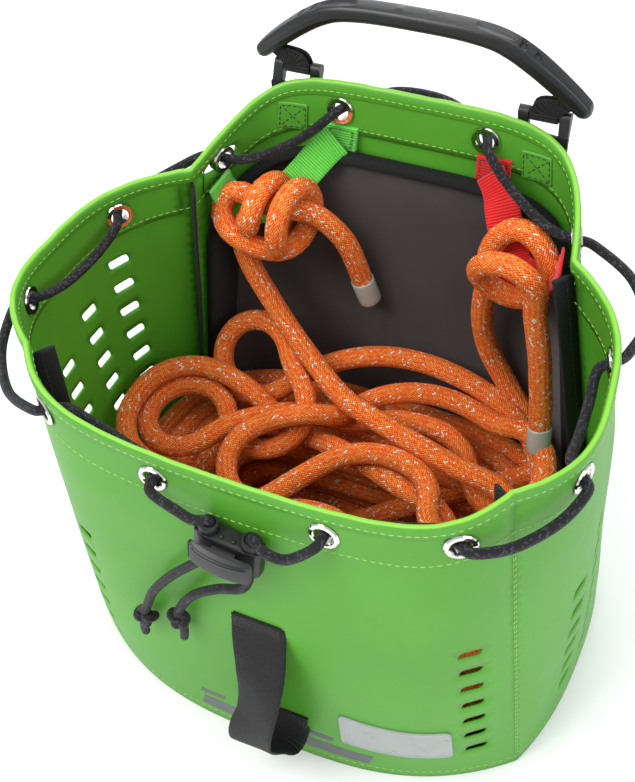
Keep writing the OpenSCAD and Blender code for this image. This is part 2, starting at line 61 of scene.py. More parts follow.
# ---------------------------------------------------------------- the bag's form
# Sides run anticlockwise from above. Sizes in this part are millimetres, and a mesh
# is turned into metres when it is made.
FRONT, RIGHT, BACK, LEFT = range(4)
BASE_CORNERS = np.array([[-130, -77], [130, -77], [134, 60], [-134, 60]], float)
MOUTH_CORNERS = np.array([[-117, -70], [117, -70], [102, 64], [-102, 64]], float)
BASE_BULGE = np.array([39, 11, 30, 9], float)
MOUTH_BULGE = np.array([23, 29, 58, 41], float)
BASE_SQUARE = np.array([3, 2.4, 2.4, 2.4])
MOUTH_SQUARE = np.array([8, 3, 9, 3], float)
MOUTH_LIFT = np.array([-23, -7, 28, -7], float)
LIFT_SQUARE = np.array([2.5, 2.5, 4, 2.5])
STEPS = np.array([14, 10, 16, 10])
FIRST = np.array([0, 14, 24, 40])
COLUMNS = 50
WIDTH = np.array([276, 160, 262, 166], float)
HALF_T, HEM_IN, PAD_IN = 0.6, -2.0, -8.2
SIDE_HEIGHT = 235  # the mouth's edge at a corner
EYELET_DROP, EYELET_HOLE = 15, 5.4
SEAM_STITCH = 4.2, 2.7, .42  # pitch, length and thread of the seams' stitches
HINGE_X, HINGE_Y, HINGE_Z = 66, 127.5, 263
MOUTH_BACK = 204  # from corner to corner of the mouth's back side
EYELETS = [(FRONT, .68), (FRONT, .93), (RIGHT, .22), (RIGHT, .72), (BACK, .03), (BACK, .31),
           (BACK, .69), (BACK, .97), (LEFT, .2), (LEFT, .73), (FRONT, .07), (FRONT, .32)]
VENTS = [(FRONT, .1, 124, 7, 16, 10, 6), (FRONT, .935, 128, 7, 16, 10, 6),
         (RIGHT, .3, 118, 6, 18, 13.5, 6.5), (RIGHT, .5, 134, 7, 18, 13.5, 6.5), (RIGHT, .72, 150, 7, 18, 13.5, 6.5),
         (LEFT, .24, 184, 7, 18, 13.5, 6.5), (LEFT, .43, 167, 7, 18, 13.5, 6.5), (LEFT, .625, 150, 7, 18, 13.5, 6.5)]


def hump(s, square):
    return 1 - np.abs(2 * s - 1) ** square


def edge_of(k, s):
    """Height of the mouth's edge on side k, at s along it."""
    return SIDE_HEIGHT + MOUTH_LIFT[k] * hump(s, LIFT_SQUARE[k])


def plan(k, s, t):
    """Plan position of the fabric's middle on side k, at s along it and t of its height."""
    t = np.asarray(t, float)[..., None]
    a = BASE_CORNERS[k] * (1 - t) + MOUTH_CORNERS[k] * t
    b = BASE_CORNERS[(k + 1) % 4] * (1 - t) + MOUTH_CORNERS[(k + 1) % 4] * t
    d = (b - a) / np.linalg.norm(b - a, axis=-1, keepdims=True)
    t = t[..., 0]
    bulge = (BASE_BULGE[k] * (1 - t) + MOUTH_BULGE[k] * t) * hump(s, BASE_SQUARE[k] * (1 - t) + MOUTH_SQUARE[k] * t)
    return a + (b - a) * np.asarray(s)[..., None] + np.stack([d[..., 1], -d[..., 0]], -1) * bulge[..., None]


def column_of(k, s):
    """Place round the whole bag, counted in columns that are closer together near the corners."""
    return FIRST[k] + STEPS[k] * np.arccos(np.clip(1 - 2 * np.asarray(s, float), -1, 1)) / np.pi


def side_of(c):
    """The side and the place along it of a column."""
    c = np.mod(np.asarray(c, float), COLUMNS)
    k = np.searchsorted(FIRST, c, side="right") - 1
    return k, (1 - np.cos(np.pi * (c - FIRST[k]) / STEPS[k])) / 2


def ring_edge(c):
    return edge_of(*side_of(c))


def ease(x, low, high):
    x = np.clip((x - low) / (high - low), 0, 1)
    return x * x * (3 - 2 * x)


def sag(k, s, z):
    """How far the loose cloth stands out from its cut shape between the seams."""
    edge = edge_of(k, s)
    free = ease(z, 6, 50) * ease(edge - z, 26, 60) * ease(s, 0, .12) * ease(1 - s, 0, .12)
    wave = (np.sin(9.1 * s + 0.021 * z + 1.7 * k) + np.sin(5.3 * s - 0.034 * z + 2.1 + k)
            + 0.7 * np.sin(17 * s + 0.012 * z + 0.4 * k) + 0.5 * np.sin(3 * s + 0.07 * z + k))
    return free * (1.3 + 0.42 * wave)


def place(c, z, off, loose=True):
    """A point of the bag at column c and height z, standing off from the fabric's middle."""
    c, z, off = np.broadcast_arrays(np.asarray(c, float), np.asarray(z, float), np.asarray(off, float))
    k, s = side_of(c)
    t = z / edge_of(k, s)
    p = plan(k, s, t)
    d = plan(*side_of(c + 1), t) - plan(*side_of(c - 1), t)
    d /= np.linalg.norm(d, axis=-1, keepdims=True)
    lift = off + (sag(k, s, z) * ease(off, -1.5, -0.5) if loose else 0)
    return np.stack([p[..., 0] + d[..., 1] * lift, p[..., 1] - d[..., 0] * lift, z], -1)


def spot(k, s, z):
    p = plan(k, s, z / edge_of(k, s))
    return np.array([p[0], p[1], z])


def wall_axes(k, s, z):
    """Along the wall, up it and out of it, at one place."""
    x = spot(k, s + .01, z) - spot(k, s - .01, z)
    up = spot(k, s, z + 1) - spot(k, s, z - 1)
    x /= np.linalg.norm(x)
    n = np.cross(x, up)
    n /= np.linalg.norm(n)
    return x, np.cross(n, x), n


def eyelet_spot(j):
    k, s = EYELETS[j]
    z = edge_of(k, s) - EYELET_DROP
    return spot(k, s, z), wall_axes(k, s, z)[2]


# ---------------------------------------------------------------- meshes
def mesh_piece(name, points, faces, material, uvs=None, smooth=True):
    """A new piece from points in millimetres. uvs holds one pair for each point."""
    mesh = bpy.data.meshes.new(name)
    points = np.asarray(points, float).reshape(-1, 3) * MM
    mesh.from_pydata(points.tolist(), [], [tuple(int(i) for i in f) for f in faces])
    if uvs is not None:
        layer = mesh.uv_layers.new(name="UVMap")
        loops = np.zeros(len(mesh.loops), np.int32)
        mesh.loops.foreach_get("vertex_index", loops)
        layer.data.foreach_set("uv", np.asarray(uvs, np.float32)[loops].ravel())
    mesh.validate()
    if smooth:
        mesh.shade_smooth()
    obj = bpy.data.objects.new(name, mesh)
    bpy.context.scene.collection.objects.link(obj)
    mesh.materials.append(material)
    return obj


def grid_faces(rows, cols, close_rows=False, close_cols=False, start=0):
    """Faces of a grid of points, rows by cols."""
    i, j = np.meshgrid(np.arange(rows - (not close_rows)), np.arange(cols - (not close_cols)), indexing="ij")
    i, j = i.ravel(), j.ravel()
    i1, j1 = (i + 1) % rows, (j + 1) % cols
    return (np.stack([i * cols + j, i * cols + j1, i1 * cols + j1, i1 * cols + j], 1) + start).tolist()


def slab_faces(rows, cols):
    """Faces of two grids of points closed along their rims, and the first grid's rim."""
    total = rows * cols
    faces = grid_faces(rows, cols) + [f[::-1] for f in grid_faces(rows, cols, start=total)]
    rim = [*range(cols), *range(2 * cols - 1, total, cols), *range(total - 2, total - cols - 1, -1),
           *range(total - 2 * cols, 0, -cols)]
    faces += [[a, b, b + total, a + total] for a, b in zip(rim, rim[1:] + rim[:1])]
    return faces, rim


def joined(pieces):
    """Joins pieces into the first of them."""
    with bpy.context.temp_override(active_object=pieces[0], selected_editable_objects=pieces):
        bpy.ops.object.join()
    return pieces[0]


def outward(obj):
    """Turns a closed mesh's faces to look out."""
    bm = bmesh.new()
    bm.from_mesh(obj.data)
    bmesh.ops.recalc_face_normals(bm, faces=bm.faces)
    bm.to_mesh(obj.data)
    bm.free()
    return obj


def thicken(obj, thickness, offset=0.0):
    m = obj.modifiers.new("cloth thickness", "SOLIDIFY")
    m.thickness, m.offset, m.use_even_offset = thickness * MM, offset, True
    return obj


def unit(v):
    v = np.asarray(v, float)
    return v / np.maximum(np.linalg.norm(v, axis=-1, keepdims=True), 1e-12)


def smooth_path(points, step):
    """An even, smooth line through chosen points (Catmull-Rom)."""
    p = np.asarray(points, float)
    p = np.vstack([2 * p[0] - p[1], p, 2 * p[-1] - p[-2]])
    t = np.linspace(0, 1, 16, endpoint=False)[:, None]
    parts = []
    for a, b, c, d in zip(p[:-3], p[1:-2], p[2:-1], p[3:]):
        parts.append(0.5 * (2 * b + (c - a) * t + (2 * a - 5 * b + 4 * c - d) * t ** 2
                            + (3 * b - a - 3 * c + d) * t ** 3))
    line = np.vstack(parts + [p[-2:-1]])
    return evened(line, step)


def evened(line, step):
    far = run_of(line)
    at = np.linspace(0, far[-1], max(3, int(round(far[-1] / step)) + 1))
    return np.stack([np.interp(at, far, line[:, a]) for a in range(3)], 1)


def run_of(line):
    """How far along the line each of its points lies."""
    return np.concatenate([[0], np.cumsum(np.linalg.norm(np.diff(line, axis=0), axis=1))])


def frames_along(line, start=(0, 0, 1)):
    """Two directions across a line at each of its points, turning as little as they can."""
    tangent = unit(np.gradient(line, axis=0))
    u = np.cross(tangent[0], start)
    if np.linalg.norm(u) < 1e-3:
        u = np.cross(tangent[0], (1, 0, 0))
    us = [u / np.linalg.norm(u)]
    for t in tangent[1:]:
        u = us[-1] - t * (us[-1] @ t)
        us.append(u / np.linalg.norm(u))
    us = np.array(us)
    return us, np.cross(tangent, us)


def tube(name, line, diameter, sides, material, ends=True):
    """A round cord along a line, with u round it and v along it in turns of its girth."""
    us, vs = frames_along(line)
    n = len(line)
    angle = np.linspace(0, 2 * np.pi, sides + 1)
    radius = np.full(n, diameter / 2)
    if ends:
        radius[[0, -1]] *= 0.62
        radius[[1, -2]] *= 0.97
    ring = np.cos(angle)[None, :, None] * us[:, None] + np.sin(angle)[None, :, None] * vs[:, None]
    points = line[:, None] + ring * radius[:, None, None]
    far = run_of(line) / (np.pi * diameter)
    uvs = np.stack(np.broadcast_arrays((angle / (2 * np.pi))[None, :], far[:, None]), -1)
    points = points.reshape(-1, 3)
    faces = grid_faces(n, sides + 1)
    # the last point of each ring lies on its first and shares it in the mesh below
    obj = mesh_piece(name, points, faces, material, uvs.reshape(-1, 2))
    bm = bmesh.new()
    bm.from_mesh(obj.data)
    bmesh.ops.remove_doubles(bm, verts=bm.verts, dist=1e-7)
    bm.normal_update()
    bmesh.ops.holes_fill(bm, edges=[e for e in bm.edges if e.is_boundary], sides=0)
    bmesh.ops.recalc_face_normals(bm, faces=bm.faces)
    for f in bm.faces:
        f.smooth = True
    bm.to_mesh(obj.data)
    bm.free()
    return obj


def strap(name, line, across, width, thickness, material):
    """Flat webbing along a line. across is the direction over its width at each point."""
    n = len(line)
    tangent = unit(np.gradient(line, axis=0))
    across = unit(across - tangent * (across * tangent).sum(1, keepdims=True))
    out = np.cross(across, tangent)
    w = np.broadcast_to(np.asarray(width, float), (n,))[:, None, None] / 2
    x = np.array([-1, -.97, -.8, -.4, 0, .4, .8, .97, 1])
    y = np.array([.35, .85, 1, 1, 1, 1, 1, .85, .35]) * thickness / 2
    x, y = np.concatenate([x, x[::-1]]), np.concatenate([y, -y[::-1]])
    points = line[:, None] + across[:, None] * x[None, :, None] * w + out[:, None] * y[None, :, None]
    far = run_of(line)
    uvs = np.stack(np.broadcast_arrays(x[None, :] * w[:, :, 0] * MM, far[:, None] * MM), -1)
    m = len(x)
    faces = grid_faces(n, m, close_cols=True)
    faces += [list(range(m))[::-1], [(n - 1) * m + j for j in range(m)]]
    return outward(mesh_piece(name, points, faces, material, uvs.reshape(-1, 2)))


def layer_patch(name, k, s0, s1, z0, z1, off, thickness, corner, material, border=0.0, lean=0.0, n=36, m=22):
    """A thin sewn or welded patch that follows the wall, with round corners."""
    w, h = (s1 - s0) * WIDTH[k] / 2, (z1 - z0) / 2
    u, v = np.meshgrid(np.sin(np.linspace(-np.pi / 2, np.pi / 2, n)), np.sin(np.linspace(-np.pi / 2, np.pi / 2, m)))
    y = v * h
    inset = np.maximum(0, np.abs(y) - (h - corner))
    x = u * (w - corner + np.sqrt(np.maximum(0, corner ** 2 - inset ** 2))) + lean * y
    s, z = (s0 + s1) / 2 + x / WIDTH[k], (z0 + z1) / 2 + y
    near = np.minimum((1 - np.abs(u)) * w, (1 - np.abs(v)) * h)
    top = off + np.sign(thickness) * (abs(thickness) * ease(near, -.3, .5) + border * (1 - ease(near, 1.2, 2.2)))
    c = column_of(k, s)
    points = np.concatenate([place(c, z, top).reshape(-1, 3), place(c, z, off).reshape(-1, 3)])
    faces, _ = slab_faces(m, n)
    uv = np.stack([x, y], -1).reshape(-1, 2) * MM
    return outward(mesh_piece(name, points, faces, material, np.concatenate([uv, uv])))


def stitches(name, runs, material, pitch=3.6, stitch=2.5, thread=0.55):
    """Rows of stitches. Each run is (line on the cloth, direction out of it)."""
    points, faces = [], []
    shape = [(-1, .25), (-.8, .8), (0, 1), (.8, .8), (1, .25)]
    for line, out in runs:
        line = np.asarray(line, float)
        out = np.broadcast_to(out, line.shape)
        far = run_of(line)
        for at in np.arange(pitch / 2, far[-1] - stitch / 2, pitch):
            a, b, n = (np.array([np.interp(q, far, v[:, i]) for i in range(3)])
                       for q, v in ((at - stitch / 2, line), (at + stitch / 2, line), (at, out)))
            n = unit(n)
            side = unit(np.cross(b - a, n))
            start = len(points)
            for x, r in shape:
                centre = (a + b) / 2 + (b - a) / 2 * x - n * (0.16 * abs(x))
                for q in range(6):
                    g = q * np.pi / 3
                    points.append(centre + (side * math.cos(g) + n * math.sin(g) * .8) * thread / 2 * r)
            faces += grid_faces(5, 6, close_cols=True, start=start)
            faces += [[start + q for q in range(6)], [start + 24 + q for q in range(5, -1, -1)]]
    return outward(mesh_piece(name, points, faces, material))


def cut_sheet(name, k, s0, s1, low, high, off, material, spacing=4.2, vents=True):
    """A cut panel of cloth on side k with its eyelet holes and vents. Returns it and its flat area."""
    def rounded(cx, cz, w, h, r, lean):
        pts = []
        for sx, sy, a0 in ((1, 1, 0), (-1, 1, 90), (-1, -1, 180), (1, -1, 270)):
            for a in np.radians(a0 + np.array([0, 22.5, 45, 67.5, 90])):
                y = sy * (h / 2 - r) + r * math.sin(a)
                pts.append((cx + sx * (w / 2 - r) + r * math.cos(a) + lean * y, cz + y))
        return np.array(pts)

    holes = []
    for side, s, z, number, pitch, w, h in VENTS:
        if side == k and vents:
            holes += [rounded(s * WIDTH[k], z - j * pitch, w, h, 1.9, .25) for j in range(number)]
    around = np.linspace(0, 2 * np.pi, 28, endpoint=False)
    for side, s in EYELETS:
        if side == k and s0 < s < s1:
            holes.append(np.stack([s * WIDTH[k] + EYELET_HOLE * np.cos(around),
                                   edge_of(k, s) - EYELET_DROP + EYELET_HOLE * np.sin(around)], 1))
    ss = np.linspace(s0, s1, max(4, int((s1 - s0) * WIDTH[k] / 3)))
    lo = np.broadcast_to(low(ss), ss.shape)
    hi = np.broadcast_to(high(ss), ss.shape)
    rows = max(3, int((hi - lo).max() / 3.4))
    up = np.linspace(0, 1, rows)[1:-1]
    edge = [np.stack([ss * WIDTH[k], lo], 1),
            np.stack([np.full(len(up), s1 * WIDTH[k]), lo[-1] + (hi[-1] - lo[-1]) * up], 1),
            np.stack([ss[::-1] * WIDTH[k], hi[::-1]], 1),
            np.stack([np.full(len(up), s0 * WIDTH[k]), hi[0] + (lo[0] - hi[0]) * up], 1)]
    loops = [np.vstack(edge)] + holes
    gx, gz = np.meshgrid(np.arange(s0 * WIDTH[k] + 2, s1 * WIDTH[k] - 1.5, spacing),
                         np.arange(lo.min() + 2, hi.max() - 1.5, spacing * .87))
    gx = gx + (np.arange(len(gx)) % 2)[:, None] * spacing / 2
    inner = np.stack([gx.ravel(), gz.ravel()], 1)
    s_in = inner[:, 0] / WIDTH[k]
    keep = ((inner[:, 1] > np.interp(s_in, ss, lo) + 1.6) & (inner[:, 1] < np.interp(s_in, ss, hi) - 1.6)
            & (s_in < s1 - 1.2 / WIDTH[k]))
    for hole in holes:
        middle = hole.mean(0)
        reach = np.abs(hole - middle).max(0) + 1.4
        keep &= ~(np.abs(inner - middle) < reach).all(1)
    points = np.vstack(loops + [inner[keep]])
    edges, start = [], 0
    for loop in loops:
        n = len(loop)
        edges += [(start + i, start + (i + 1) % n) for i in range(n)]
        start += n
    verts, _, tris, *_ = delaunay_2d_cdt([Vector(p) for p in points], edges, [], 0, 1e-4)
    verts = np.array([tuple(v) for v in verts])
    tris = np.array([t for t in tris if len(t) == 3])
    middle = verts[tris].mean(1)
    s_mid = middle[:, 0] / WIDTH[k]
    good = (middle[:, 1] > np.interp(s_mid, ss, lo)) & (middle[:, 1] < np.interp(s_mid, ss, hi))
    for hole in holes:
        nxt = np.roll(hole, -1, axis=0)
        x, z = middle[:, 0][:, None], middle[:, 1][:, None]
        cross = (hole[:, 1] > z) != (nxt[:, 1] > z)
        rise = np.where(nxt[:, 1] == hole[:, 1], 1e-9, nxt[:, 1] - hole[:, 1])
        at = (nxt[:, 0] - hole[:, 0]) * (z - hole[:, 1]) / rise
        good &= (cross & (x < at + hole[:, 0])).sum(1) % 2 == 0
    tris = tris[good]
    used, flat = np.unique(tris, return_inverse=True)
    verts, tris = verts[used], flat.reshape(-1, 3)
    p = verts[tris]
    d1, d2 = p[:, 1] - p[:, 0], p[:, 2] - p[:, 0]
    turn = d1[:, 0] * d2[:, 1] - d1[:, 1] * d2[:, 0]
    tris[turn < 0] = tris[turn < 0][:, ::-1]
    body = place(column_of(k, verts[:, 0] / WIDTH[k]), verts[:, 1], off)
    q = body[tris]
    area = np.linalg.norm(np.cross(q[:, 1] - q[:, 0], q[:, 2] - q[:, 0]), axis=1).sum() / 2 * MM * MM
    return mesh_piece(name, body, tris, material, verts * MM), area


# ---------------------------------------------------------------- finishes
class Finish:
    """Builds one finish from shader nodes."""

    def __init__(self, name):
        self.made = bpy.data.materials.new(name)
        self.made.use_nodes = True
        self.tree = self.made.node_tree
        self.tree.nodes.clear()

    def add(self, kind, **inputs):
        node = self.tree.nodes.new("ShaderNode" + kind)
        for key, value in inputs.items():
            self.put(node.inputs[key.replace("_", " ")], value)
        return node

    def put(self, socket, value):
        if isinstance(value, bpy.types.NodeSocket):
            self.tree.links.new(value, socket)
        elif isinstance(value, (tuple, list)) and len(value) == 3 and socket.type == "RGBA":
            socket.default_value = (*value, 1)
        else:
            socket.default_value = value

    def math(self, operation, *values, clamp=False):
        node = self.tree.nodes.new("ShaderNodeMath")
        node.operation, node.use_clamp = operation, clamp
        for socket, value in zip(node.inputs, values):
            self.put(socket, value)
        return node.outputs[0]

    def mix(self, share, a, b, kind="MIX"):
        node = self.tree.nodes.new("ShaderNodeMix")
        node.data_type, node.blend_type = "RGBA", kind
        self.put(node.inputs[0], share)
        self.put(node.inputs[6], a)
        self.put(node.inputs[7], b)
        return node.outputs[2]

    def body(self):
        """Place in metres on the bag."""
        return self.add("TexCoord").outputs["Object"]

    def cloth(self):
        """Place on the cloth or cord itself."""
        return self.add("UVMap").outputs["UV"]

    def parts(self, vector):
        return self.add("SeparateXYZ", Vector=vector).outputs

    def noise(self, vector, scale, detail=2.0, rough=0.5):
        return self.add("TexNoise", Vector=vector, Scale=scale, Detail=detail, Roughness=rough).outputs[0]

    def ramp(self, value, *stops):
        node = self.add("ValToRGB", Fac=value)
        ramp = node.color_ramp
        while len(ramp.elements) < len(stops):
            ramp.elements.new(0.5)
        for element, (at, colour) in zip(ramp.elements, stops):
            element.position = at
            element.color = (*colour, 1) if isinstance(colour, tuple) else (colour, colour, colour, 1)
        return node.outputs[0]

    def bump(self, height, strength, distance, under=None):
        node = self.add("Bump", Height=height, Strength=strength, Distance=distance)
        if under is not None:
            self.put(node.inputs["Normal"], under)
        return node.outputs[0]

    def shell(self, **inputs):
        return self.add("BsdfPrincipled", **inputs).outputs[0]

    def end(self, shader):
        out = self.tree.nodes.new("ShaderNodeOutputMaterial")
        self.tree.links.new(shader, out.inputs[0])
        return self.made

    def weave(self, x, y, across, along):
        """Plain weave: rows of threads that pass over and under each other. Height 0 to 1."""
        a, b = self.math("MULTIPLY", x, across), self.math("MULTIPLY", y, along)
        odd = self.math("MODULO", self.math("ADD", self.math("FLOOR", a), self.math("FLOOR", b)), 2.0)
        odd = self.math("ABSOLUTE", odd)
        ha = self.math("ABSOLUTE", self.math("SINE", self.math("MULTIPLY", a, math.pi)))
        hb = self.math("ABSOLUTE", self.math("SINE", self.math("MULTIPLY", b, math.pi)))
        return self.add("Mix", Factor=odd, A=ha, B=hb).outputs[0]

    def braid(self, strands, pitch):
        """A braided sheath: (height, number of the strand on top, number that differs for each plait)."""
        u, v, _ = self.parts(self.cloth())
        v = self.math("MULTIPLY", v, pitch)
        a = self.math("MULTIPLY", self.math("ADD", u, v), float(strands))
        b = self.math("MULTIPLY", self.math("SUBTRACT", u, v), float(strands))
        fa, fb = self.math("FLOOR", a), self.math("FLOOR", b)
        two = self.math("FLOOR", self.math("MULTIPLY", self.math("ADD", fa, fb), 0.5))
        odd = self.math("ABSOLUTE", self.math("MODULO", two, 2.0))
        xa = self.math("SINE", self.math("MULTIPLY", self.math("FRACT", a), math.pi))
        xb = self.math("SINE", self.math("MULTIPLY", self.math("FRACT", b), math.pi))
        ha = self.math("MULTIPLY", self.math("POWER", xa, 0.6), self.math("MULTIPLY_ADD", xb, 0.35, 0.65))
        hb = self.math("MULTIPLY", self.math("POWER", xb, 0.6), self.math("MULTIPLY_ADD", xa, 0.35, 0.65))
        height = self.add("Mix", Factor=odd, A=ha, B=hb).outputs[0]
        cell = self.add("CombineXYZ", X=fa, Y=fb).outputs[0]
        one = self.tree.nodes.new("ShaderNodeTexWhiteNoise")
        self.put(one.inputs["Vector"], cell)
        return height, odd, one.outputs[0], (fa, fb)


def coated_fabric(name, colour, glow, edge=None):
    """Coated cloth. edge colours the fold with a painted highlight; the fold lies 6 to 15 mm across the tape."""
    f = Finish(name)
    at = f.body()
    tone = f.noise(at, 14, 3)
    base = f.mix(f.ramp(tone, (.3, 0.0), (.75, 1.0)), tuple(c * .93 for c in colour),
                 tuple(min(1, c * 1.07) for c in colour))
    u, v, _ = f.parts(f.cloth())
    # painted highlight: the round top of the folded tape takes the lighter edge colour
    if edge:
        painted_fold_highlight = f.math("SUBTRACT", 1.0, f.math("MULTIPLY", f.math("ABSOLUTE", f.math("SUBTRACT", v, .0117)), 250.0),
                      clamp=True)
        base = f.mix(f.ramp(painted_fold_highlight, (.0, 0.0), (.25, 1.0)), base, edge)
    weave = f.weave(u, v, 1150, 1150)
    grain = f.noise(at, 900, 2)
    scuff = f.noise(at, 55, 4, .65)
    bump = f.bump(f.math("MULTIPLY_ADD", weave, .6, grain), .16, .0003)
    bump = f.bump(f.noise(at, 26, 2), .14, .004, bump)
    rough = f.math("MULTIPLY_ADD", scuff, .2, .3)
    front = f.shell(Base_Color=base, Roughness=rough, Normal=bump, Specular_IOR_Level=.42,
                    Coat_Weight=.1, Coat_Roughness=.35)
    behind = f.add("BsdfTranslucent", Color=f.mix(1.0, base, glow, "MULTIPLY"), Normal=bump).outputs[0]
    both = f.add("MixShader", Fac=.26)
    f.put(both.inputs[1], front)
    f.put(both.inputs[2], behind)
    return f.end(both.outputs[0])


def webbing_finish(name, colour, rib=1.25, gloss=.35, bright=1.6):
    """Ribbed webbing; the ribs lie across it."""
    f = Finish(name)
    x, y, _ = f.parts(f.cloth())
    rib_at = f.math("MULTIPLY", y, math.pi / (rib * MM))
    ribs = f.math("ABSOLUTE", f.math("SINE", rib_at))
    yarn = f.math("ABSOLUTE", f.math("SINE", f.math("MULTIPLY_ADD", x, math.pi / .0011, f.math("MULTIPLY", y, 900))))
    height = f.math("MULTIPLY_ADD", yarn, .35, ribs)
    lint = f.noise(f.body(), 380, 3, .7)
    shade = f.math("MULTIPLY_ADD", lint, .5, f.math("MULTIPLY", height, .55))
    base = f.mix(shade, tuple(c * .45 for c in colour), tuple(min(1, c * bright) for c in colour))
    return f.end(f.shell(Base_Color=base, Roughness=.62, Normal=f.bump(height, .75, .0005),
                         Sheen_Weight=gloss, Sheen_Roughness=.4, Specular_IOR_Level=.3))


def pad_finish(name, colour):
    """Dense twill over foam: fine slanting grain with broad bands of painted sheen."""
    f = Finish(name)
    x, y, _ = f.parts(f.cloth())
    slant = f.math("ADD", f.math("MULTIPLY", x, 1500), f.math("MULTIPLY", y, 820))
    cross = f.math("SUBTRACT", f.math("MULTIPLY", x, 1100), f.math("MULTIPLY", y, 1500))
    a = f.math("ABSOLUTE", f.math("SINE", f.math("MULTIPLY", slant, math.pi)))
    b = f.math("ABSOLUTE", f.math("SINE", f.math("MULTIPLY", cross, math.pi)))
    grain = f.math("MULTIPLY_ADD", b, .6, a)
    # painted sheen: broad sine bands that lighten the base colour
    band = f.math("MULTIPLY_ADD", y, 95.0, f.math("MULTIPLY", x, 60.0))
    band = f.math("MULTIPLY_ADD", f.noise(f.body(), 9, 2), 9.0, band)
    painted_sheen_band = f.math("MULTIPLY_ADD", f.math("SINE", band), .13, .5)
    tone = f.math("MULTIPLY_ADD", grain, .42, f.math("MULTIPLY", painted_sheen_band, .5))
    base = f.mix(tone, tuple(c * .5 for c in colour), tuple(c * 2.1 for c in colour))
    soft = f.bump(f.noise(f.body(), 60, 2), .2, .002)
    return f.end(f.shell(Base_Color=base, Roughness=.66, Normal=f.bump(grain, .45, .0004, soft),
                         Sheen_Weight=.3, Sheen_Roughness=.45, Specular_IOR_Level=.35))


def drawcord_finish(name, colour):
    f = Finish(name)
    height, _, one, _ = f.braid(12, .9)
    fleck = f.ramp(one, (.78, 0.0), (.8, 1.0))
    # painted shade: the braid's gaps are darker than the strands' tops
    base = f.mix(f.math("MULTIPLY", height, .6), tuple(c * .4 for c in colour), tuple(c * 1.6 for c in colour))
    base = f.mix(f.math("MULTIPLY", fleck, .4), base, (.1, .085, .14))
    return f.end(f.shell(Base_Color=base, Roughness=.55, Normal=f.bump(height, .9, .0005),
                         Sheen_Weight=.06, Specular_IOR_Level=.3))


def rope_finish(name, colour, light):
    """Braided sheath with paler yarns, bright metallic flecks and painted shade in the gaps between strands."""
    f = Finish(name)
    height, odd, one, (fa, fb) = f.braid(26, .8)
    pale = f.math("MULTIPLY", f.ramp(one, (.35, 0.0), (.75, 1.0)), .55)
    yarn = f.mix(f.math("ADD", pale, f.math("MULTIPLY", odd, .3), clamp=True), colour, light)
    # painted shade: the gaps between strands are darker and redder than the strands' tops
    base = f.mix(f.ramp(height, (.1, 0.0), (.75, 1.0)), tuple(c * s for c, s in zip(colour, (.72, .42, .4))), yarn)
    lane = f.tree.nodes.new("ShaderNodeTexWhiteNoise")
    f.put(lane.inputs["Vector"], f.add("CombineXYZ", X=fa, Y=f.math("FLOOR", f.math("MULTIPLY", fb, .5)),
                                       Z=3.0).outputs[0])
    spark = f.math("MULTIPLY", f.ramp(lane.outputs[0], (.9, 0.0), (.91, 1.0)), f.ramp(one, (.4, 0.0), (.44, 1.0)))
    spark = f.math("MULTIPLY", spark, f.ramp(height, (.45, 0.0), (.7, 1.0)))
    base = f.mix(spark, base, (.93, .87, .8))
    fuzz = f.noise(f.body(), 1500, 2)
    rough = f.math("MULTIPLY_ADD", spark, -.42, .7)
    return f.end(f.shell(Base_Color=base, Roughness=rough, Specular_IOR_Level=.22,
                         Normal=f.bump(f.math("MULTIPLY_ADD", fuzz, .12, height), .9, .0009)))


def plastic_finish(name, colour, rough=.42, grain=700, depth=.12, gloss=0.0):
    """Moulded plastic with a fine eroded grain and lightly rubbed edges."""
    f = Finish(name)
    at = f.body()
    fine = f.noise(at, grain, 3, .6)
    rub = f.noise(at, 70, 4, .7)
    base = f.mix(f.ramp(rub, (.4, 0.0), (.8, 1.0)), colour, tuple(c * 1.4 + .002 for c in colour))
    return f.end(f.shell(Base_Color=base, Roughness=f.math("MULTIPLY_ADD", rub, .22, rough - .1),
                         Normal=f.bump(fine, depth, .0004), Coat_Weight=gloss, Coat_Roughness=.2))


def metal_finish(name, colour, rough):
    f = Finish(name)
    at = f.body()
    worn = f.noise(at, 260, 4, .65)
    base = f.mix(f.ramp(worn, (.35, 0.0), (.7, 1.0)), tuple(c * .86 for c in colour), colour)
    return f.end(f.shell(Base_Color=base, Metallic=1.0, Roughness=f.math("MULTIPLY_ADD", worn, .16, rough),
                         Normal=f.bump(f.noise(at, 900, 2), .06, .0003)))


def film_finish(name, colour, rough=.2, dust=.2):
    """Clear film or shrunk sleeve: milky, glossy and a little clouded."""
    f = Finish(name)
    at = f.body()
    cloud = f.noise(at, 90, 4, .6)
    base = f.mix(f.ramp(cloud, (.3, 0.0), (.8, 1.0)), tuple(c * .82 for c in colour), colour)
    return f.end(f.shell(Base_Color=base, Roughness=f.math("MULTIPLY_ADD", cloud, dust, rough),
                         Normal=f.bump(f.noise(at, 35, 2), .25, .003), Coat_Weight=.6, Coat_Roughness=.08))


def thread_finish(name, colour):
    f = Finish(name)
    twist = f.add("TexWave", Vector=f.body(), Scale=900.0, Distortion=2.0).outputs[1]
    base = f.mix(twist, tuple(c * .75 for c in colour), colour)
    return f.end(f.shell(Base_Color=base, Roughness=.6, Normal=f.bump(twist, .5, .0002), Sheen_Weight=.2))


def floor_finish(name, colour):
    f = Finish(name)
    tone = f.noise(f.body(), 3, 3)
    base = f.mix(tone, tuple(c * .985 for c in colour), colour)
    return f.end(f.shell(Base_Color=base, Roughness=.75, Normal=f.bump(f.noise(f.body(), 160, 2), .03, .001)))


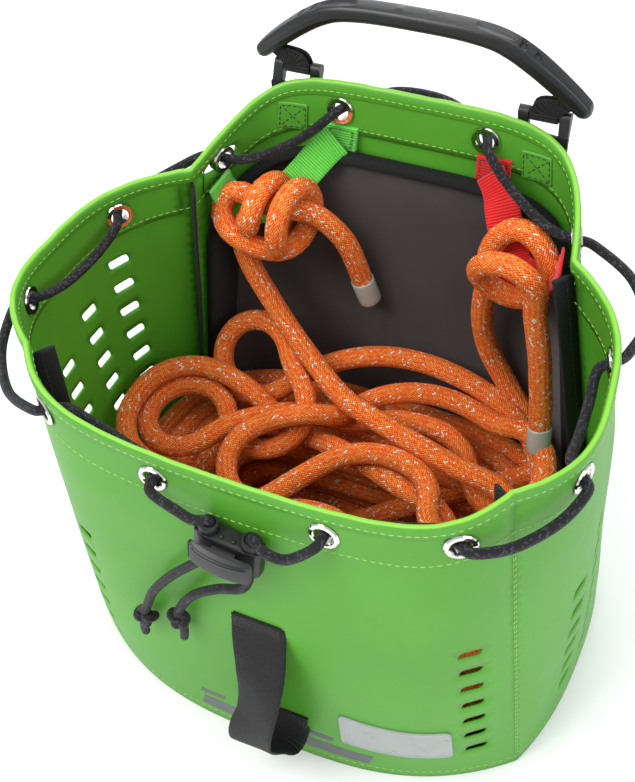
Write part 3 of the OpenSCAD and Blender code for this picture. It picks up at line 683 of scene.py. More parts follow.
def finish(name):
    """The finish of that name, made the first time that it is asked for."""
    made = bpy.data.materials.get(name)
    if made:
        return made
    col = bpy.context.scene.ropebag_colours
    recipes = {
        "bag fabric": lambda: coated_fabric(name, tuple(col.fabric), (.75, .95, .35)),
        # the rim colour is a painted highlight on the round top of the folded tape
        "rim tape": lambda: coated_fabric(name, tuple(col.fabric), (.8, 1, .4), tuple(col.rim)),
        "bag thread": lambda: thread_finish(name, tuple(col.thread)),
        "black thread": lambda: thread_finish(name, (.012, .012, .014)),
        "green thread": lambda: thread_finish(name, (.02, .2, .02)),
        "black webbing": lambda: webbing_finish(name, tuple(col.webbing), gloss=.04),
        "seam tape": lambda: webbing_finish(name, (.006, .006, .007), .8, .03, 1.8),
        "green webbing": lambda: webbing_finish(name, tuple(col.green_loop), 1.5, .3, 1.35),
        "red webbing": lambda: webbing_finish(name, tuple(col.red_loop), 1.5, .3, 1.35),
        "pad cloth": lambda: pad_finish(name, tuple(col.pad)),
        "drawcord braid": lambda: drawcord_finish(name, (.006, .0057, .0068)),
        "rope braid": lambda: rope_finish(name, tuple(col.rope), tuple(col.rope_light)),
        "lock plastic": lambda: plastic_finish(name, (.008, .008, .009), .42),
        "grip plastic": lambda: plastic_finish(name, (.004, .004, .0045), .36, 1100, .1, .1),
        "board plastic": lambda: plastic_finish(name, (.04, .04, .042), .6, 300, .2),
        "nickel": lambda: metal_finish(name, (.74, .72, .68), .16),
        "spring wire": lambda: metal_finish(name, (.55, .55, .56), .25),
        "window film": lambda: film_finish(name, (.3, .33, .32)),
        "shrunk sleeve": lambda: film_finish(name, (.46, .44, .42), .25),
        "grey print": lambda: plastic_finish(name, tuple(col.mark), .5, 500, .1),
        "studio floor": lambda: floor_finish(name, tuple(col.floor)),
    }
    return recipes[name]()


def hand_over(obj, body, slot, *nodes):
    """Puts a finished piece on its body, in place of the CAD nodes that it stands for."""
    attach(obj, body)
    if nodes:
        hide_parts(*nodes)
    return obj


def dress(node, name):
    """Gives a CAD node its finish."""
    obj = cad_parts[node]
    obj.data.materials.clear()
    obj.data.materials.append(finish(name))
    obj.data.set_sharp_from_angle(angle=math.radians(32))


# ---------------------------------------------------------------- sizes and colours
class RopeBagSizes(bpy.types.PropertyGroup):
    fabric: bpy.props.FloatProperty(name="Fabric", description="Thickness of the coated fabric",
                                    default=.0012, unit="LENGTH")
    stitch_pitch: bpy.props.FloatProperty(name="Stitch pitch", description="From one stitch to the next",
                                          default=.0038, unit="LENGTH")
    cord: bpy.props.FloatProperty(name="Drawcord", description="Diameter of the drawcord",
                                  default=.005, unit="LENGTH")
    rope: bpy.props.FloatProperty(name="Rope", description="Diameter of the rope", default=.012, unit="LENGTH")
    pad_puff: bpy.props.FloatProperty(name="Pad puff", description="How far the pad's face may swell",
                                      default=.002, unit="LENGTH")
    rope_layers: bpy.props.IntProperty(name="Rope layers", description="Flaked layers under the loose top",
                                       default=6, min=1, max=6)
    key_light: bpy.props.FloatProperty(name="Key light", description="Power of the main lamp", default=22, unit="POWER")


def colour_property(name, description, default):
    return bpy.props.FloatVectorProperty(name=name, description=description, default=default,
                                         subtype="COLOR", min=0, max=1, size=3)


class RopeBagColours(bpy.types.PropertyGroup):
    fabric: colour_property("Fabric", "Coated fabric", (.115, .43, .035))
    # rim: colour of the painted highlight on the round top of the folded tape
    rim: colour_property("Rim", "Folded tape on the mouth's edge", (.27, .66, .06))
    thread: colour_property("Thread", "Bag thread", (.42, .8, .16))
    webbing: colour_property("Webbing", "Black webbing", (.006, .006, .0065))
    pad: colour_property("Pad", "Cloth of the padded back", (.027, .022, .023))
    green_loop: colour_property("Green loop", "Webbing of the left loop", (.10, .50, .05))
    red_loop: colour_property("Red loop", "Webbing of the right loop", (.62, .012, .012))
    rope: colour_property("Rope", "Rope's main yarn", (1.0, .125, .012))
    rope_light: colour_property("Rope light", "Rope's paler yarn", (1.0, .42, .10))
    mark: colour_property("Mark", "Printed stripe", (.09, .10, .10))
    floor: colour_property("Floor", "Studio floor", (.88, .88, .88))


# ---------------------------------------------------------------- stage
class ROPEBAG_OT_stage(bpy.types.Operator):
    """Sets the floor, the lamps and the camera"""
    bl_idname = "ropebag.stage"
    bl_label = "Stage"

    def execute(self, context):
        a, e, roll = (math.radians(x) for x in (30.5, 50.0, -7.9))
        back = Vector((math.sin(a) * math.cos(e), -math.cos(a) * math.cos(e), math.sin(e)))
        right = Vector((math.cos(a), math.sin(a), 0))
        up = back.cross(right)
        right, up = (math.cos(roll) * right + math.sin(roll) * up, -math.sin(roll) * right + math.cos(roll) * up)
        data = bpy.data.cameras.new("camera")
        data.sensor_fit, data.sensor_width, data.lens = "AUTO", 36, 1200 / 782 * 36
        data.clip_start, data.clip_end = .02, 50
        camera = bpy.data.objects.new("camera", data)
        context.scene.view_settings.view_transform = "Standard"
        camera.matrix_world = Matrix.LocRotScale((.191, -.336, .632), Matrix((right, up, back)).transposed(), None)
        context.scene.collection.objects.link(camera)
        context.scene.camera = camera
        n = 24
        grid = np.linspace(-2500, 2500, n)
        x, y = np.meshgrid(grid, grid)
        points = np.stack([x, y, np.full_like(x, -.4)], -1)
        floor = mesh_piece("studio_floor", points, grid_faces(n, n), finish("studio floor"), smooth=False)
        power = context.scene.ropebag_sizes.key_light
        for name, at, size, share, tint in (
                ("key", (-.75, -.75, 1.5), 1.1, 1.0, (1, .99, .97)),
                ("fill", (1.3, -.5, .9), 1.2, .36, (.97, .98, 1)),
                ("top", (.1, .5, 1.7), 1.4, .55, (1, 1, 1)),
                ("back", (-.3, 1.4, .7), 1.0, .22, (1, 1, 1))):
            lamp = bpy.data.lights.new(name, "AREA")
            lamp.shape, lamp.size, lamp.energy, lamp.color = "DISK", size, power * share, tint
            obj = bpy.data.objects.new(name, lamp)
            obj.location = at
            obj.rotation_euler = (Vector((0, 0, .12)) - Vector(at)).to_track_quat("-Z", "Y").to_euler()
            context.scene.collection.objects.link(obj)
        world = bpy.data.worlds.new("studio")
        world.use_nodes = True
        world.node_tree.nodes["Background"].inputs[0].default_value = (.95, .97, 1, 1)
        world.node_tree.nodes["Background"].inputs[1].default_value = .75
        context.scene.world = world
        return {"FINISHED"}


# ---------------------------------------------------------------- shell
class ROPEBAG_OT_walls(bpy.types.Operator):
    """Cuts the four walls with their vents and eyelet holes"""
    bl_idname = "ropebag.walls"
    bl_label = "Walls"

    def execute(self, context):
        for k, name in enumerate(("front", "right", "back", "left")):
            wall, area = cut_sheet(f"wall_{name}", k, 0, 1, lambda s: 0 * s + .8, lambda s, k=k: edge_of(k, s),
                                   0, finish("bag fabric"))
            thicken(wall, context.scene.ropebag_sizes.fabric / MM)
            hand_over(wall, "bag", "coated_fabric", f"{name}_panel")
        seams = []
        for c in FIRST:
            z = np.linspace(8, ring_edge(c) - 30, 70)
            for side in (-.32, .32):
                line = place(c + side, z, HALF_T + .12)
                seams.append((line, unit(line * (1, 1, 0))))
        hand_over(stitches("corner_seams", seams, finish("bag thread"), *SEAM_STITCH), "bag", "coated_fabric")
        return {"FINISHED"}


class ROPEBAG_OT_base(bpy.types.Operator):
    """Makes the base cloth and its sewn edge"""
    bl_idname = "ropebag.base"
    bl_label = "Base"

    def execute(self, context):
        c = np.linspace(0, COLUMNS, 240, endpoint=False)
        rim = place(c, np.full_like(c, 1.2), HALF_T)[:, :2]
        rings = np.sqrt(np.linspace(.004, 1, 16))
        middle = np.array([0, -8.0])
        flat = middle + (rim[None] - middle) * rings[:, None, None]
        points = np.concatenate([flat, np.full((*flat.shape[:2], 1), .6)], -1)
        faces = grid_faces(len(rings), len(c), close_cols=True) + [list(range(len(c)))]
        base = mesh_piece("base_cloth", points, faces, finish("bag fabric"), points.reshape(-1, 3)[:, :2] * MM)
        thicken(base, 1.1)
        hand_over(base, "bag", "coated_fabric", "base_panel")
        line = place(np.append(c, COLUMNS), 6, HALF_T + .12)
        row = stitches("base_seam", [(line, unit(line * (1, 1, 0)))], finish("bag thread"), *SEAM_STITCH)
        hand_over(row, "bag", "coated_fabric")
        dress("base_board", "board plastic")
        return {"FINISHED"}


class ROPEBAG_OT_mouth(bpy.types.Operator):
    """Sews the hem and the folded tape round the mouth"""
    bl_idname = "ropebag.mouth"
    bl_label = "Mouth"

    def execute(self, context):
        parts, area = [], 0
        for k in range(4):
            edges = (1 - math.cos(math.pi / STEPS[k])) / 2, (1 + math.cos(math.pi / STEPS[k])) / 2
            part, piece = cut_sheet(f"hem_{k}", k, *edges, lambda s, k=k: edge_of(k, s) - 28,
                                    lambda s, k=k: edge_of(k, s) - .3, -1.5, finish("bag fabric"), 3.6, False)
            parts.append(part)
            area += piece
        hem = thicken(joined(parts), .9)
        hem.name = "hem_band"
        hand_over(hem, "bag", "coated_fabric", "hem_band")
        c = np.linspace(0, COLUMNS, 420, endpoint=False)
        section = [(.8, -7.0), (1.05, -6.7), (1.1, -3.5), (1.05, -.6), (.9, .1), (.45, .75), (-.2, 1.0), (-.9, .95),
                   (-1.5, .55), (-2.1, -.4), (-2.45, -1.2), (-2.55, -3.5), (-2.5, -6.7), (-2.3, -7.0), (-2.1, -6.9),
                   (-2.08, -1.2), (-1.6, -.2), (.62, -.2), (.65, -6.9)]
        edge = ring_edge(c)
        wave = .12 * np.sin(c * 5.1) + .1 * np.sin(c * 8.3 + 1)
        points = np.stack([place(c, edge + dz + wave * (dz > 0), off) for off, dz in section], 1)
        far = np.cumsum(np.linalg.norm(np.diff(points[:, 0], axis=0, append=points[:1, 0]), axis=1))
        uvs = np.stack(np.broadcast_arrays(far[:, None], np.arange(len(section))[None] * 1.8), -1) * MM
        tape = outward(mesh_piece("rim_tape", points, grid_faces(len(c), len(section), True, True),
                                  finish("rim tape"), uvs.reshape(-1, 2)))
        hand_over(tape, "bag", "edge_binding", "rim_binding")
        c = np.linspace(0, COLUMNS, 900)
        pitch = context.scene.ropebag_sizes.stitch_pitch / MM
        rows = []
        for drop, off, way in ((4.3, 1.16, 1), (25, HALF_T + .14, 1), (4.3, -2.62, -1), (25, HEM_IN - .1, -1)):
            line = place(c, ring_edge(c) - drop, off)
            out = place(c, ring_edge(c) - drop, off + way) - line
            rows.append((line, out))
        hand_over(stitches("hem_stitches", rows, finish("bag thread"), pitch, 2.5, .5), "bag", "coated_fabric")
        return {"FINISHED"}


class ROPEBAG_OT_corner_strips(bpy.types.Operator):
    """Binds the corner seams, which stand into the bag like fins"""
    bl_idname = "ropebag.corner_strips"
    bl_label = "Corner strips"

    def execute(self, context):
        for i, name in enumerate(("front_left", "front_right", "back_right", "back_left")):
            z = np.linspace(4.2, 227, 90)
            turn = math.radians((0, 0, 22, -22)[i])
            root, step = place(FIRST[i], z, -1.3, loose=False), place(FIRST[i], z, -2.3, loose=False)
            inward = unit(step - root)
            inward = np.stack([inward[:, 0] * math.cos(turn) - inward[:, 1] * math.sin(turn),
                               inward[:, 0] * math.sin(turn) + inward[:, 1] * math.cos(turn), 0 * z], 1)
            flat = np.stack([-inward[:, 1], inward[:, 0], 0 * z], 1)
            limp = (np.sin(z / 31 + i) + .6 * np.sin(z / 17 + 2 * i)) * .5
            section = [(0, .45), (2.6, .6), (3, 1.0), (9.5, 1.1), (10.8, .95), (11.3, .5), (11.4, 0), (11.3, -.5),
                       (10.8, -.95), (9.5, -1.1), (3, -1.0), (2.6, -.6), (0, -.45)]
            points = np.stack([root + inward * d + flat * (w + (limp * (d / 11.4) ** 2)[:, None])
                               for d, w in section], 1)
            girth = np.cumsum([0, 2.6, .6, 6.5, 1.3, .6, .5, .5, .6, 1.3, 6.5, .6, 2.6])
            uvs = np.stack(np.broadcast_arrays(girth[None], z[:, None]), -1) * MM
            n = len(section)
            faces = grid_faces(90, n, close_cols=True) + [list(range(n)), [89 * n + j for j in range(n)][::-1]]
            fin = outward(mesh_piece(f"corner_seam_{name}", points, faces, finish("seam tape"), uvs.reshape(-1, 2)))
            hand_over(fin, "bag", "black_webbing", f"corner_strip_{name}")
            rows = []
            for way in (-1, 1):
                line = root + inward * 4.4 + flat * (way * 1.12 + (limp * .15)[:, None])
                rows.append((line, flat * way))
            hand_over(stitches(f"corner_seam_stitches_{name}", rows, finish("black thread"), 3.6, 2.4, .45),
                      "bag", "black_webbing")
        return {"FINISHED"}


class ROPEBAG_OT_pad(bpy.types.Operator):
    """Swells the padded back and binds its edge"""
    bl_idname = "ropebag.pad"
    bl_label = "Padded back"

    def execute(self, context):
        cols, rows = 46, 40
        c = np.linspace(FIRST[2] + 1.05, FIRST[3] - 1.05, cols)
        cc, vv = np.meshgrid(c, np.linspace(0, 1, rows))
        z = 5.4 + vv * (ring_edge(cc) - 38.4 - 5.4)
        near = np.minimum(np.minimum(cc - c[0], c[-1] - cc) / 1.2, np.minimum(vv, 1 - vv) * 12)
        deep = ease(near, -.25, 1)
        face = place(cc, z, -3.3 - 4.2 * deep).reshape(-1, 3)
        rear = place(cc, z, -3.0).reshape(-1, 3)
        total = cols * rows
        faces, rim = slab_faces(rows, cols)
        back_k, back_s = side_of(cc)
        uv = np.stack([back_s * WIDTH[BACK], z], -1).reshape(-1, 2) * MM
        pad = outward(mesh_piece("back_pad", np.concatenate([face, rear]), faces, finish("pad cloth"),
                                 np.concatenate([uv, uv])))
        swell(pad, range(total), list(range(total, 2 * total)) + rim, context.scene.ropebag_sizes.pad_puff)
        pad.modifiers.new("soft", "SUBSURF").levels = 1
        pad.modifiers["soft"].render_levels = 1
        hand_over(pad, "bag", "pad_fabric", "back_pad")
        hand_over(self.binding(), "bag", "black_webbing", "pad_binding")
        return {"FINISHED"}

    def binding(self):
        """Black tape folded over the pad's sides and, narrower, over its top."""
        s0, s1 = side_of(FIRST[2] + 1.0)[1], side_of(FIRST[3] - 1.0001)[1]
        w = WIDTH[BACK]
        rings = []
        section = ((12, -7.6), (11.8, -8.8), (9, -9.5), (3, -9.3), (.2, -8.5), (-.5, -6), (-.4, -4.2), (.3, -3.1))
        for inset, off in section:
            top = inset * .34
            side = [(s0 * w + inset, z) for z in np.linspace(5.2, 185, 46)]
            lid = [(x, float(edge_of(BACK, x / w)) - 37.6 - top)
                   for x in np.linspace(s0 * w + inset, s1 * w - inset, 90)]
            other = [(s1 * w - inset, z) for z in np.linspace(185, 5.2, 46)]
            line = np.array(side[:-1] + lid + other[1:])
            for _ in range(4):  # rounds the two top corners
                line[1:-1] = line[1:-1] * .5 + (line[:-2] + line[2:]) * .25
            rings.append(place(column_of(BACK, line[:, 0] / w), line[:, 1], off, loose=False))
        points = np.stack(rings, 1)
        far = np.cumsum(np.linalg.norm(np.diff(points[:, 0], axis=0, prepend=points[:1, 0]), axis=1))
        across = np.array([0, 1, 4, 10, 13, 16, 18.5, 20.0])
        uvs = np.stack(np.broadcast_arrays(across[None], far[:, None]), -1) * MM
        tape = mesh_piece("pad_tape", points, grid_faces(len(points), 8), finish("seam tape"), uvs.reshape(-1, 2))
        return thicken(tape, .7)


def swell(obj, loose, pinned, reach):
    """Blows a closed cloth up a little, keeps each point within reach, and leaves no cloth on it."""
    rest = np.array([v.co for v in obj.data.vertices])
    group = obj.vertex_groups.new(name="sewn")
    group.add([int(i) for i in pinned], 1.0, "REPLACE")
    cloth = obj.modifiers.new("swell", "CLOTH")
    s = cloth.settings
    s.quality, s.mass, s.vertex_group_mass = 6, .25, "sewn"
    s.tension_stiffness = s.compression_stiffness = 14
    s.shear_stiffness, s.bending_stiffness = 6, .4
    s.use_pressure, s.uniform_pressure_force = True, 5
    s.effector_weights.gravity = 0
    s.shrink_min = -.02
    cloth.collision_settings.use_self_collision = False
    scene = bpy.context.scene
    for at in range(1, 19):
        scene.frame_set(at)
    blown = obj.evaluated_get(bpy.context.evaluated_depsgraph_get())
    now = np.array([v.co for v in blown.data.vertices])
    obj.modifiers.remove(cloth)
    scene.frame_set(1)
    move = now - rest
    far = np.linalg.norm(move, axis=1, keepdims=True)
    move *= np.minimum(1, reach / np.maximum(far, 1e-9))
    obj.data.vertices.foreach_set("co", (rest + move).astype(np.float32).ravel())
    obj.data.update()


class ROPEBAG_OT_eyelets(bpy.types.Operator):
    """Plates the eyelets and their washers"""
    bl_idname = "ropebag.eyelets"
    bl_label = "Eyelets"

    def execute(self, context):
        dress("eyelets", "nickel")
        dress("eyelet_washers", "nickel")
        return {"FINISHED"}


# ---------------------------------------------------------------- drawcord and lock
SPANS = [(-1, 2, -3), (1, 6, -4), (-1, 0, -5), (1, 15, -2), (-1, 2, -4), (1, 9, 10), (-1, 2, -4), (1, 4, -2),
         (-1, 0, -6), (1, 13, -8), (-1, 2, -3)]
LEAN, TURN = math.radians(6.2), math.radians(-7)
LOCK_AT = spot(FRONT, .49, 176.0) + (0, -1.8, 0)


def lock_point(p):
    """A point given in the cord lock's own frame (across, up, out), in the bag's frame."""
    p = np.asarray(p, float)
    x = math.cos(TURN) * p[..., 0] - math.sin(TURN) * p[..., 1]
    y = math.sin(TURN) * p[..., 0] + math.cos(TURN) * p[..., 1]
    return LOCK_AT + np.stack([x, y * math.sin(LEAN) - p[..., 2] * math.cos(LEAN),
                               y * math.cos(LEAN) + p[..., 2] * math.sin(LEAN)], -1)


def drawcord_route():
    """Through the eyelets in turn, now inside and now outside the mouth."""
    route = []
    for j, (way, bow, rise) in enumerate(SPANS):
        (a, na), (b, nb) = eyelet_spot(j), eyelet_spot(j + 1)
        t = unit(b - a)
        a1, b1 = a + na * way * 7.1 + t * 5, b + nb * way * 7.1 - t * 5
        out = unit(na * way + nb * way) * bow + np.array([0, 0, rise])
        route += [a, a1, a1 * .7 + b1 * .3 + out * .8, a1 * .3 + b1 * .7 + out * .8, b1]
    return route + [eyelet_spot(11)[0]]


def lock_route(name):
    """The two leads into the lock and the two tails out of it."""
    left, right = eyelet_spot(11)[0], eyelet_spot(0)[0]
    return {
        "lead_left": [left, left + (2, -7, -1), (-26, -104, 193), (-18, -105, 192), lock_point((-10.5, 13, 5.5)),
                      lock_point((-10.5, 0, 5.5))],
        "lead_right": [right, right + (-2, -7, -2), (28, -106, 187), (18, -107, 189), lock_point((10.5, 13, 5.5)),
                       lock_point((10.5, 0, 5.5))],
        "tail_left": [lock_point((-10.5, 0, 5.5)), lock_point((-10.5, -13, 5.5)), (-25, -108, 154), (-38, -110, 139),
                      (-50, -112, 121), (-57, -113, 104), (-60, -113.5, 97)],
        "tail_right": [lock_point((10.5, 0, 5.5)), lock_point((10.5, -13, 5.5)), (2, -108, 150), (-12, -109, 142),
                       (-25, -111, 132), (-34, -112, 118), (-38, -113.5, 109)],
    }[name]


def cord_knot(name, middle, lean, way):
    """An overhand knot pulled down in the cord, with its short cut end."""
    t = np.linspace(.32, 2 * np.pi - .42, 40) + np.pi / 2
    ring = np.stack([(np.sin(t) + 1.7 * np.sin(2 * t)) * 1.75, -np.sin(3 * t) * 2.3,
                     (np.cos(t) - 1.7 * np.cos(2 * t)) * 1.9], 1) * (way, 1, 1)
    top, end = np.array([[0, 0, 9.0]]), np.array([[way * 1.2, .2, -7.0], [way * 1.0, -.3, -13], [0, -.4, -19.5]])
    if ring[0, 2] < ring[-1, 2]:
        ring = ring[::-1]
    line = smooth_path(np.vstack([top, ring[::3], end]), .9)
    a = math.radians(lean)
    line = np.stack([line[:, 0] * math.cos(a) + line[:, 2] * math.sin(a), line[:, 1],
                     -line[:, 0] * math.sin(a) + line[:, 2] * math.cos(a)], 1) + middle
    return tube(name, line, 4.7, 14, finish("drawcord braid"))


class ROPEBAG_OT_drawcord(bpy.types.Operator):
    """Laces the drawcord round the mouth and down through the lock"""
    bl_idname = "ropebag.drawcord"
    bl_label = "Drawcord"

    def execute(self, context):
        d = context.scene.ropebag_sizes.cord / MM
        line = smooth_path(drawcord_route(), 1.6)
        cord = tube("drawcord", line, d, 14, finish("drawcord braid"))
        hand_over(cord, "bag", "drawcord", "drawcord")
        knots = {"tail_left": cord_knot("cord_knot_left", np.array([-60, -113.5, 92]), 12, -1),
                 "tail_right": cord_knot("cord_knot_right", np.array([-38, -113.5, 104]), 2, 1)}
        for name, knot in knots.items():
            hand_over(knot, "bag", "drawcord", "drawcord_knot_" + name[5:])
        for name in ("lead_left", "lead_right", "tail_left", "tail_right"):
            line = smooth_path(lock_route(name), 1.2)
            cord = tube(f"drawcord_{name}", line, d, 14, finish("drawcord braid"), ends=False)
            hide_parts(f"drawcord_{name}")
            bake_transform(cord)
        return {"FINISHED"}


class ROPEBAG_OT_cord_lock(bpy.types.Operator):
    """Moulds the cord lock's housing and its push pad"""
    bl_idname = "ropebag.cord_lock"
    bl_label = "Cord lock"

    def execute(self, context):
        black = finish("lock plastic")
        housing = self.housing(black)
        hand_over(housing, "cord_lock", "black_plastic", "cord_lock_housing")
        hand_over(self.button(black), "lock_button", "black_plastic", "cord_lock_button")
        turns, low, high = 3, 2.15, 5.15
        a = np.linspace(0, 1, 91)
        coil = lock_point(np.stack([2.4 * np.cos(a * turns * 2 * np.pi), 2.4 * np.sin(a * turns * 2 * np.pi),
                                    low + (high - low) * a], -1))
        spring = tube("lock_spring", coil, 1.0, 10, finish("spring wire"))
        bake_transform(spring)
        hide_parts("cord_lock_spring")
        return {"FINISHED"}

    def housing(self, black):
        n, m = 64, 30
        angle = np.linspace(0, 2 * np.pi, n, endpoint=False)
        power = .42
        x = np.sign(np.cos(angle)) * np.abs(np.cos(angle)) ** power * 17
        z = np.sign(np.sin(angle)) * np.abs(np.sin(angle)) ** .62 * 5.5 + 5.5
        v = np.linspace(-1, 1, m)
        y = np.sign(v) * np.abs(v) ** .8 * 9
        shrink = (1 - np.abs(v) ** 9) ** .25 * .1 + .9
        points = np.stack(np.broadcast_arrays(x[None] * (shrink[:, None] * .5 + .5), y[:, None],
                                              np.maximum(5.5 + (z[None] - 5.5) * shrink[:, None], 1.5)), -1)
        faces = grid_faces(m, n, close_cols=True) + [list(range(n)), [(m - 1) * n + i for i in range(n)][::-1]]
        body = outward(mesh_piece("lock_housing", lock_point(points), faces, black))
        bm = bmesh.new()
        for side in (-1, 1):  # the two tall collars that the leads drop into
            self.ring(bm, side * 10.5, 8.2, 13.2, 4.9, 3.0, 5.5)
            self.ring(bm, side * 10.5, -12.0, -8.2, 4.7, 3.0, 5.5)
        for side in (-1, 1):
            self.pip(bm, side * 3.0, 9.0, 7.6)
        extra = bpy.data.meshes.new("lock_collars")
        bm.to_mesh(extra)
        bm.free()
        for p in extra.vertices:
            p.co = lock_point(np.maximum(np.array(p.co) / MM, (-99, -99, 1.5))) * MM
        extra.materials.append(black)
        extra.shade_smooth()
        collars = bpy.data.objects.new("lock_collars", extra)
        bpy.context.scene.collection.objects.link(collars)
        collars.data.set_sharp_from_angle(angle=math.radians(40))
        cutters = bmesh.new()
        for side in (-1, 1):
            self.ring(cutters, side * 10.5, -15, 15, 2.95, 0, 5.5)
        self.block(cutters, (-6.2, -6, 1.8), (6.2, 6, 14))
        tool = bpy.data.meshes.new("bores")
        cutters.to_mesh(tool)
        cutters.free()
        for p in tool.vertices:
            p.co = lock_point(np.array(p.co) / MM) * MM
        cutter = bpy.data.objects.new("bores", tool)
        bpy.context.scene.collection.objects.link(cutter)
        outward(cutter)
        cut = body.modifiers.new("bores", "BOOLEAN")
        cut.operation, cut.object, cut.solver = "DIFFERENCE", cutter, "EXACT"
        dg = bpy.context.evaluated_depsgraph_get()
        made = bpy.data.meshes.new_from_object(body.evaluated_get(dg))
        body.modifiers.clear()
        body.data = made
        body.data.set_sharp_from_angle(angle=math.radians(40))
        bpy.data.objects.remove(cutter)
        return joined([body, collars])

    def ring(self, bm, x, y0, y1, outer, inner, z):
        """A collar (or a plain rod where inner is 0) along the lock's up direction."""
        n = 32
        profile = [(outer * .9, y0), (outer, y0 + .5), (outer, y1 - .7), (outer * .88, y1)]
        if inner:
            profile += [(inner + .3, y1), (inner, y1 - .4), (inner, y0 + .3), (inner + .2, y0)]
        rows = [[bm.verts.new(((x + r * math.cos(a)) * MM, y * MM, (z + r * math.sin(a)) * MM))
                 for a in (2 * math.pi * i / n for i in range(n))] for r, y in profile]
        count = len(rows)
        for i in range(count if inner else count - 1):
            for j in range(n):
                a, b = rows[i], rows[(i + 1) % count]
                bm.faces.new((a[j], a[(j + 1) % n], b[(j + 1) % n], b[j]))
        if not inner:
            bm.faces.new(rows[0])
            bm.faces.new(rows[-1][::-1])
        bmesh.ops.recalc_face_normals(bm, faces=bm.faces)

    def pip(self, bm, x, y, z):
        made = bmesh.ops.create_uvsphere(bm, u_segments=16, v_segments=10, radius=.0012)
        bmesh.ops.translate(bm, verts=made["verts"], vec=(x * MM, y * MM, z * MM))

    def block(self, bm, low, high):
        made = bmesh.ops.create_cube(bm, size=1)
        for v in made["verts"]:
            v.co = [(low[i] + high[i]) / 2 * MM + v.co[i] * (high[i] - low[i]) * MM for i in range(3)]

    def button(self, black):
        """A bowed push pad with round corners, a ridge along its top and a groove under it."""
        n, m = 90, 60
        u, v = np.meshgrid(np.linspace(-1, 1, n), np.linspace(-1, 1, m))
        u, v = np.sin(u * np.pi / 2), np.sin(v * np.pi / 2)
        w, h, r = 16.5, 7.9, 3.4
        y = v * h
        inset = np.maximum(0, np.abs(y) - (h - r))
        x = u * (w - r + np.sqrt(np.maximum(0, r * r - inset ** 2)))
        near = np.minimum((1 - np.abs(u)) * w, (1 - np.abs(v)) * h)
        bowed = 18.3 - x ** 2 / (2 * 46) - y ** 2 / (2 * 60)
        top = bowed - 1.6 * (1 - ease(near, -.1, 1.7))
        top += .45 * np.exp(-((y - 6.1) / .5) ** 2) * ease(np.abs(x), 14, 12)
        top -= .9 * np.exp(-((y - 4.7) / .42) ** 4) * ease(np.abs(x), 13.6, 12.6)
        top += .4 * np.exp(-((y - 3.4) / .5) ** 2) * ease(np.abs(x), 14, 12)
        under = 14.0 + .5 * (1 - ease(near, -.1, .9))
        points = np.concatenate([np.stack([x, y, top], -1).reshape(-1, 3), np.stack([x, y, under], -1).reshape(-1, 3)])
        faces, _ = slab_faces(m, n)
        start = len(points)
        tongue = [(-5.9, -5.6), (5.9, -5.6), (5.9, 5.6), (-5.9, 5.6)]
        points = np.vstack([points] + [[(a, b, c)] for c in (5.7, 14.6) for a, b in tongue])
        faces += [[start + i, start + (i + 1) % 4, start + 4 + (i + 1) % 4, start + 4 + i] for i in range(4)]
        faces += [[start + 3, start + 2, start + 1, start], [start + 4, start + 5, start + 6, start + 7]]
        pad = outward(mesh_piece("lock_button", lock_point(points), faces, black))
        pad.data.set_sharp_from_angle(angle=math.radians(50))
        return pad


# ---------------------------------------------------------------- front loop and marks
class ROPEBAG_OT_front_loop(bpy.types.Operator):
    """Sews the grab loop on the front"""
    bl_idname = "ropebag.front_loop"
    bl_label = "Front loop"

    def execute(self, context):
        route = [(4, -1.6, 116, 0), (4.2, -2.6, 110, 2), (5.2, -5.5, 104, 4), (8, -12, 93, 10), (9.5, -19, 80, 18),
                 (8, -24, 62, 24), (5, -25.5, 46, 24), (5, -23, 34, 14), (8, -15.5, 25, 2), (11, -8, 22.5, -8),
                 (12, -3.6, 27, -12), (12.5, -2.4, 34, -12), (12.8, -2.2, 39, -12)]
        wall = np.array([spot(FRONT, .5 + 4 / 260, z)[1] for _, _, z, _ in route])
        points = np.array([(x, wall[i] + off, z) for i, (x, off, z, _) in enumerate(route)])
        line = smooth_path(points, 1.5)
        turn = np.radians(np.interp(np.linspace(0, 1, len(line)), np.linspace(0, 1, len(route)), [r[3] for r in route]))
        across = np.stack([np.cos(turn), -np.sin(turn), 0 * turn], 1)
        width = 30 - 3.2 * np.sin(np.linspace(0, np.pi, len(line))) ** 2
        loop = strap("grab_loop", line, across, width, 1.9, finish("black webbing"))
        hand_over(loop, "bag", "black_webbing", "front_loop")
        w = WIDTH[FRONT]
        for name, x, z, h, lean in (("top", 4, 111, 13, .03), ("bottom", 12, 32, 15, .18)):
            s = .5 + x / 264
            tab = layer_patch(f"grab_loop_tab_{name}", FRONT, s - 15 / w, s + 15 / w, z - h / 2, z + h / 2,
                              HALF_T + .05, 1.5, .8, finish("black webbing"), lean=lean)
            hand_over(tab, "bag", "black_webbing", f"front_loop_tab_{name}")
            rows = []
            for inset in (2.0, 4.2):
                a, b = 15 - inset, h / 2 - inset
                box = np.array([(-a, -b), (a, -b), (a, b), (-a, b), (-a, -b)])
                fine = np.vstack([np.linspace(box[i], box[i + 1], 14) for i in range(4)])
                ss, zz = s + (fine[:, 0] + lean * fine[:, 1]) / w, z + fine[:, 1]
                line = place(column_of(FRONT, ss), zz, HALF_T + 1.62)
                rows.append((line, np.broadcast_to((0.0, -1.0, 0.0), line.shape)))
            hand_over(stitches(f"grab_loop_stitches_{name}", rows, finish("black thread"), 3, 2.1, .5),
                      "bag", "black_webbing")
        return {"FINISHED"}


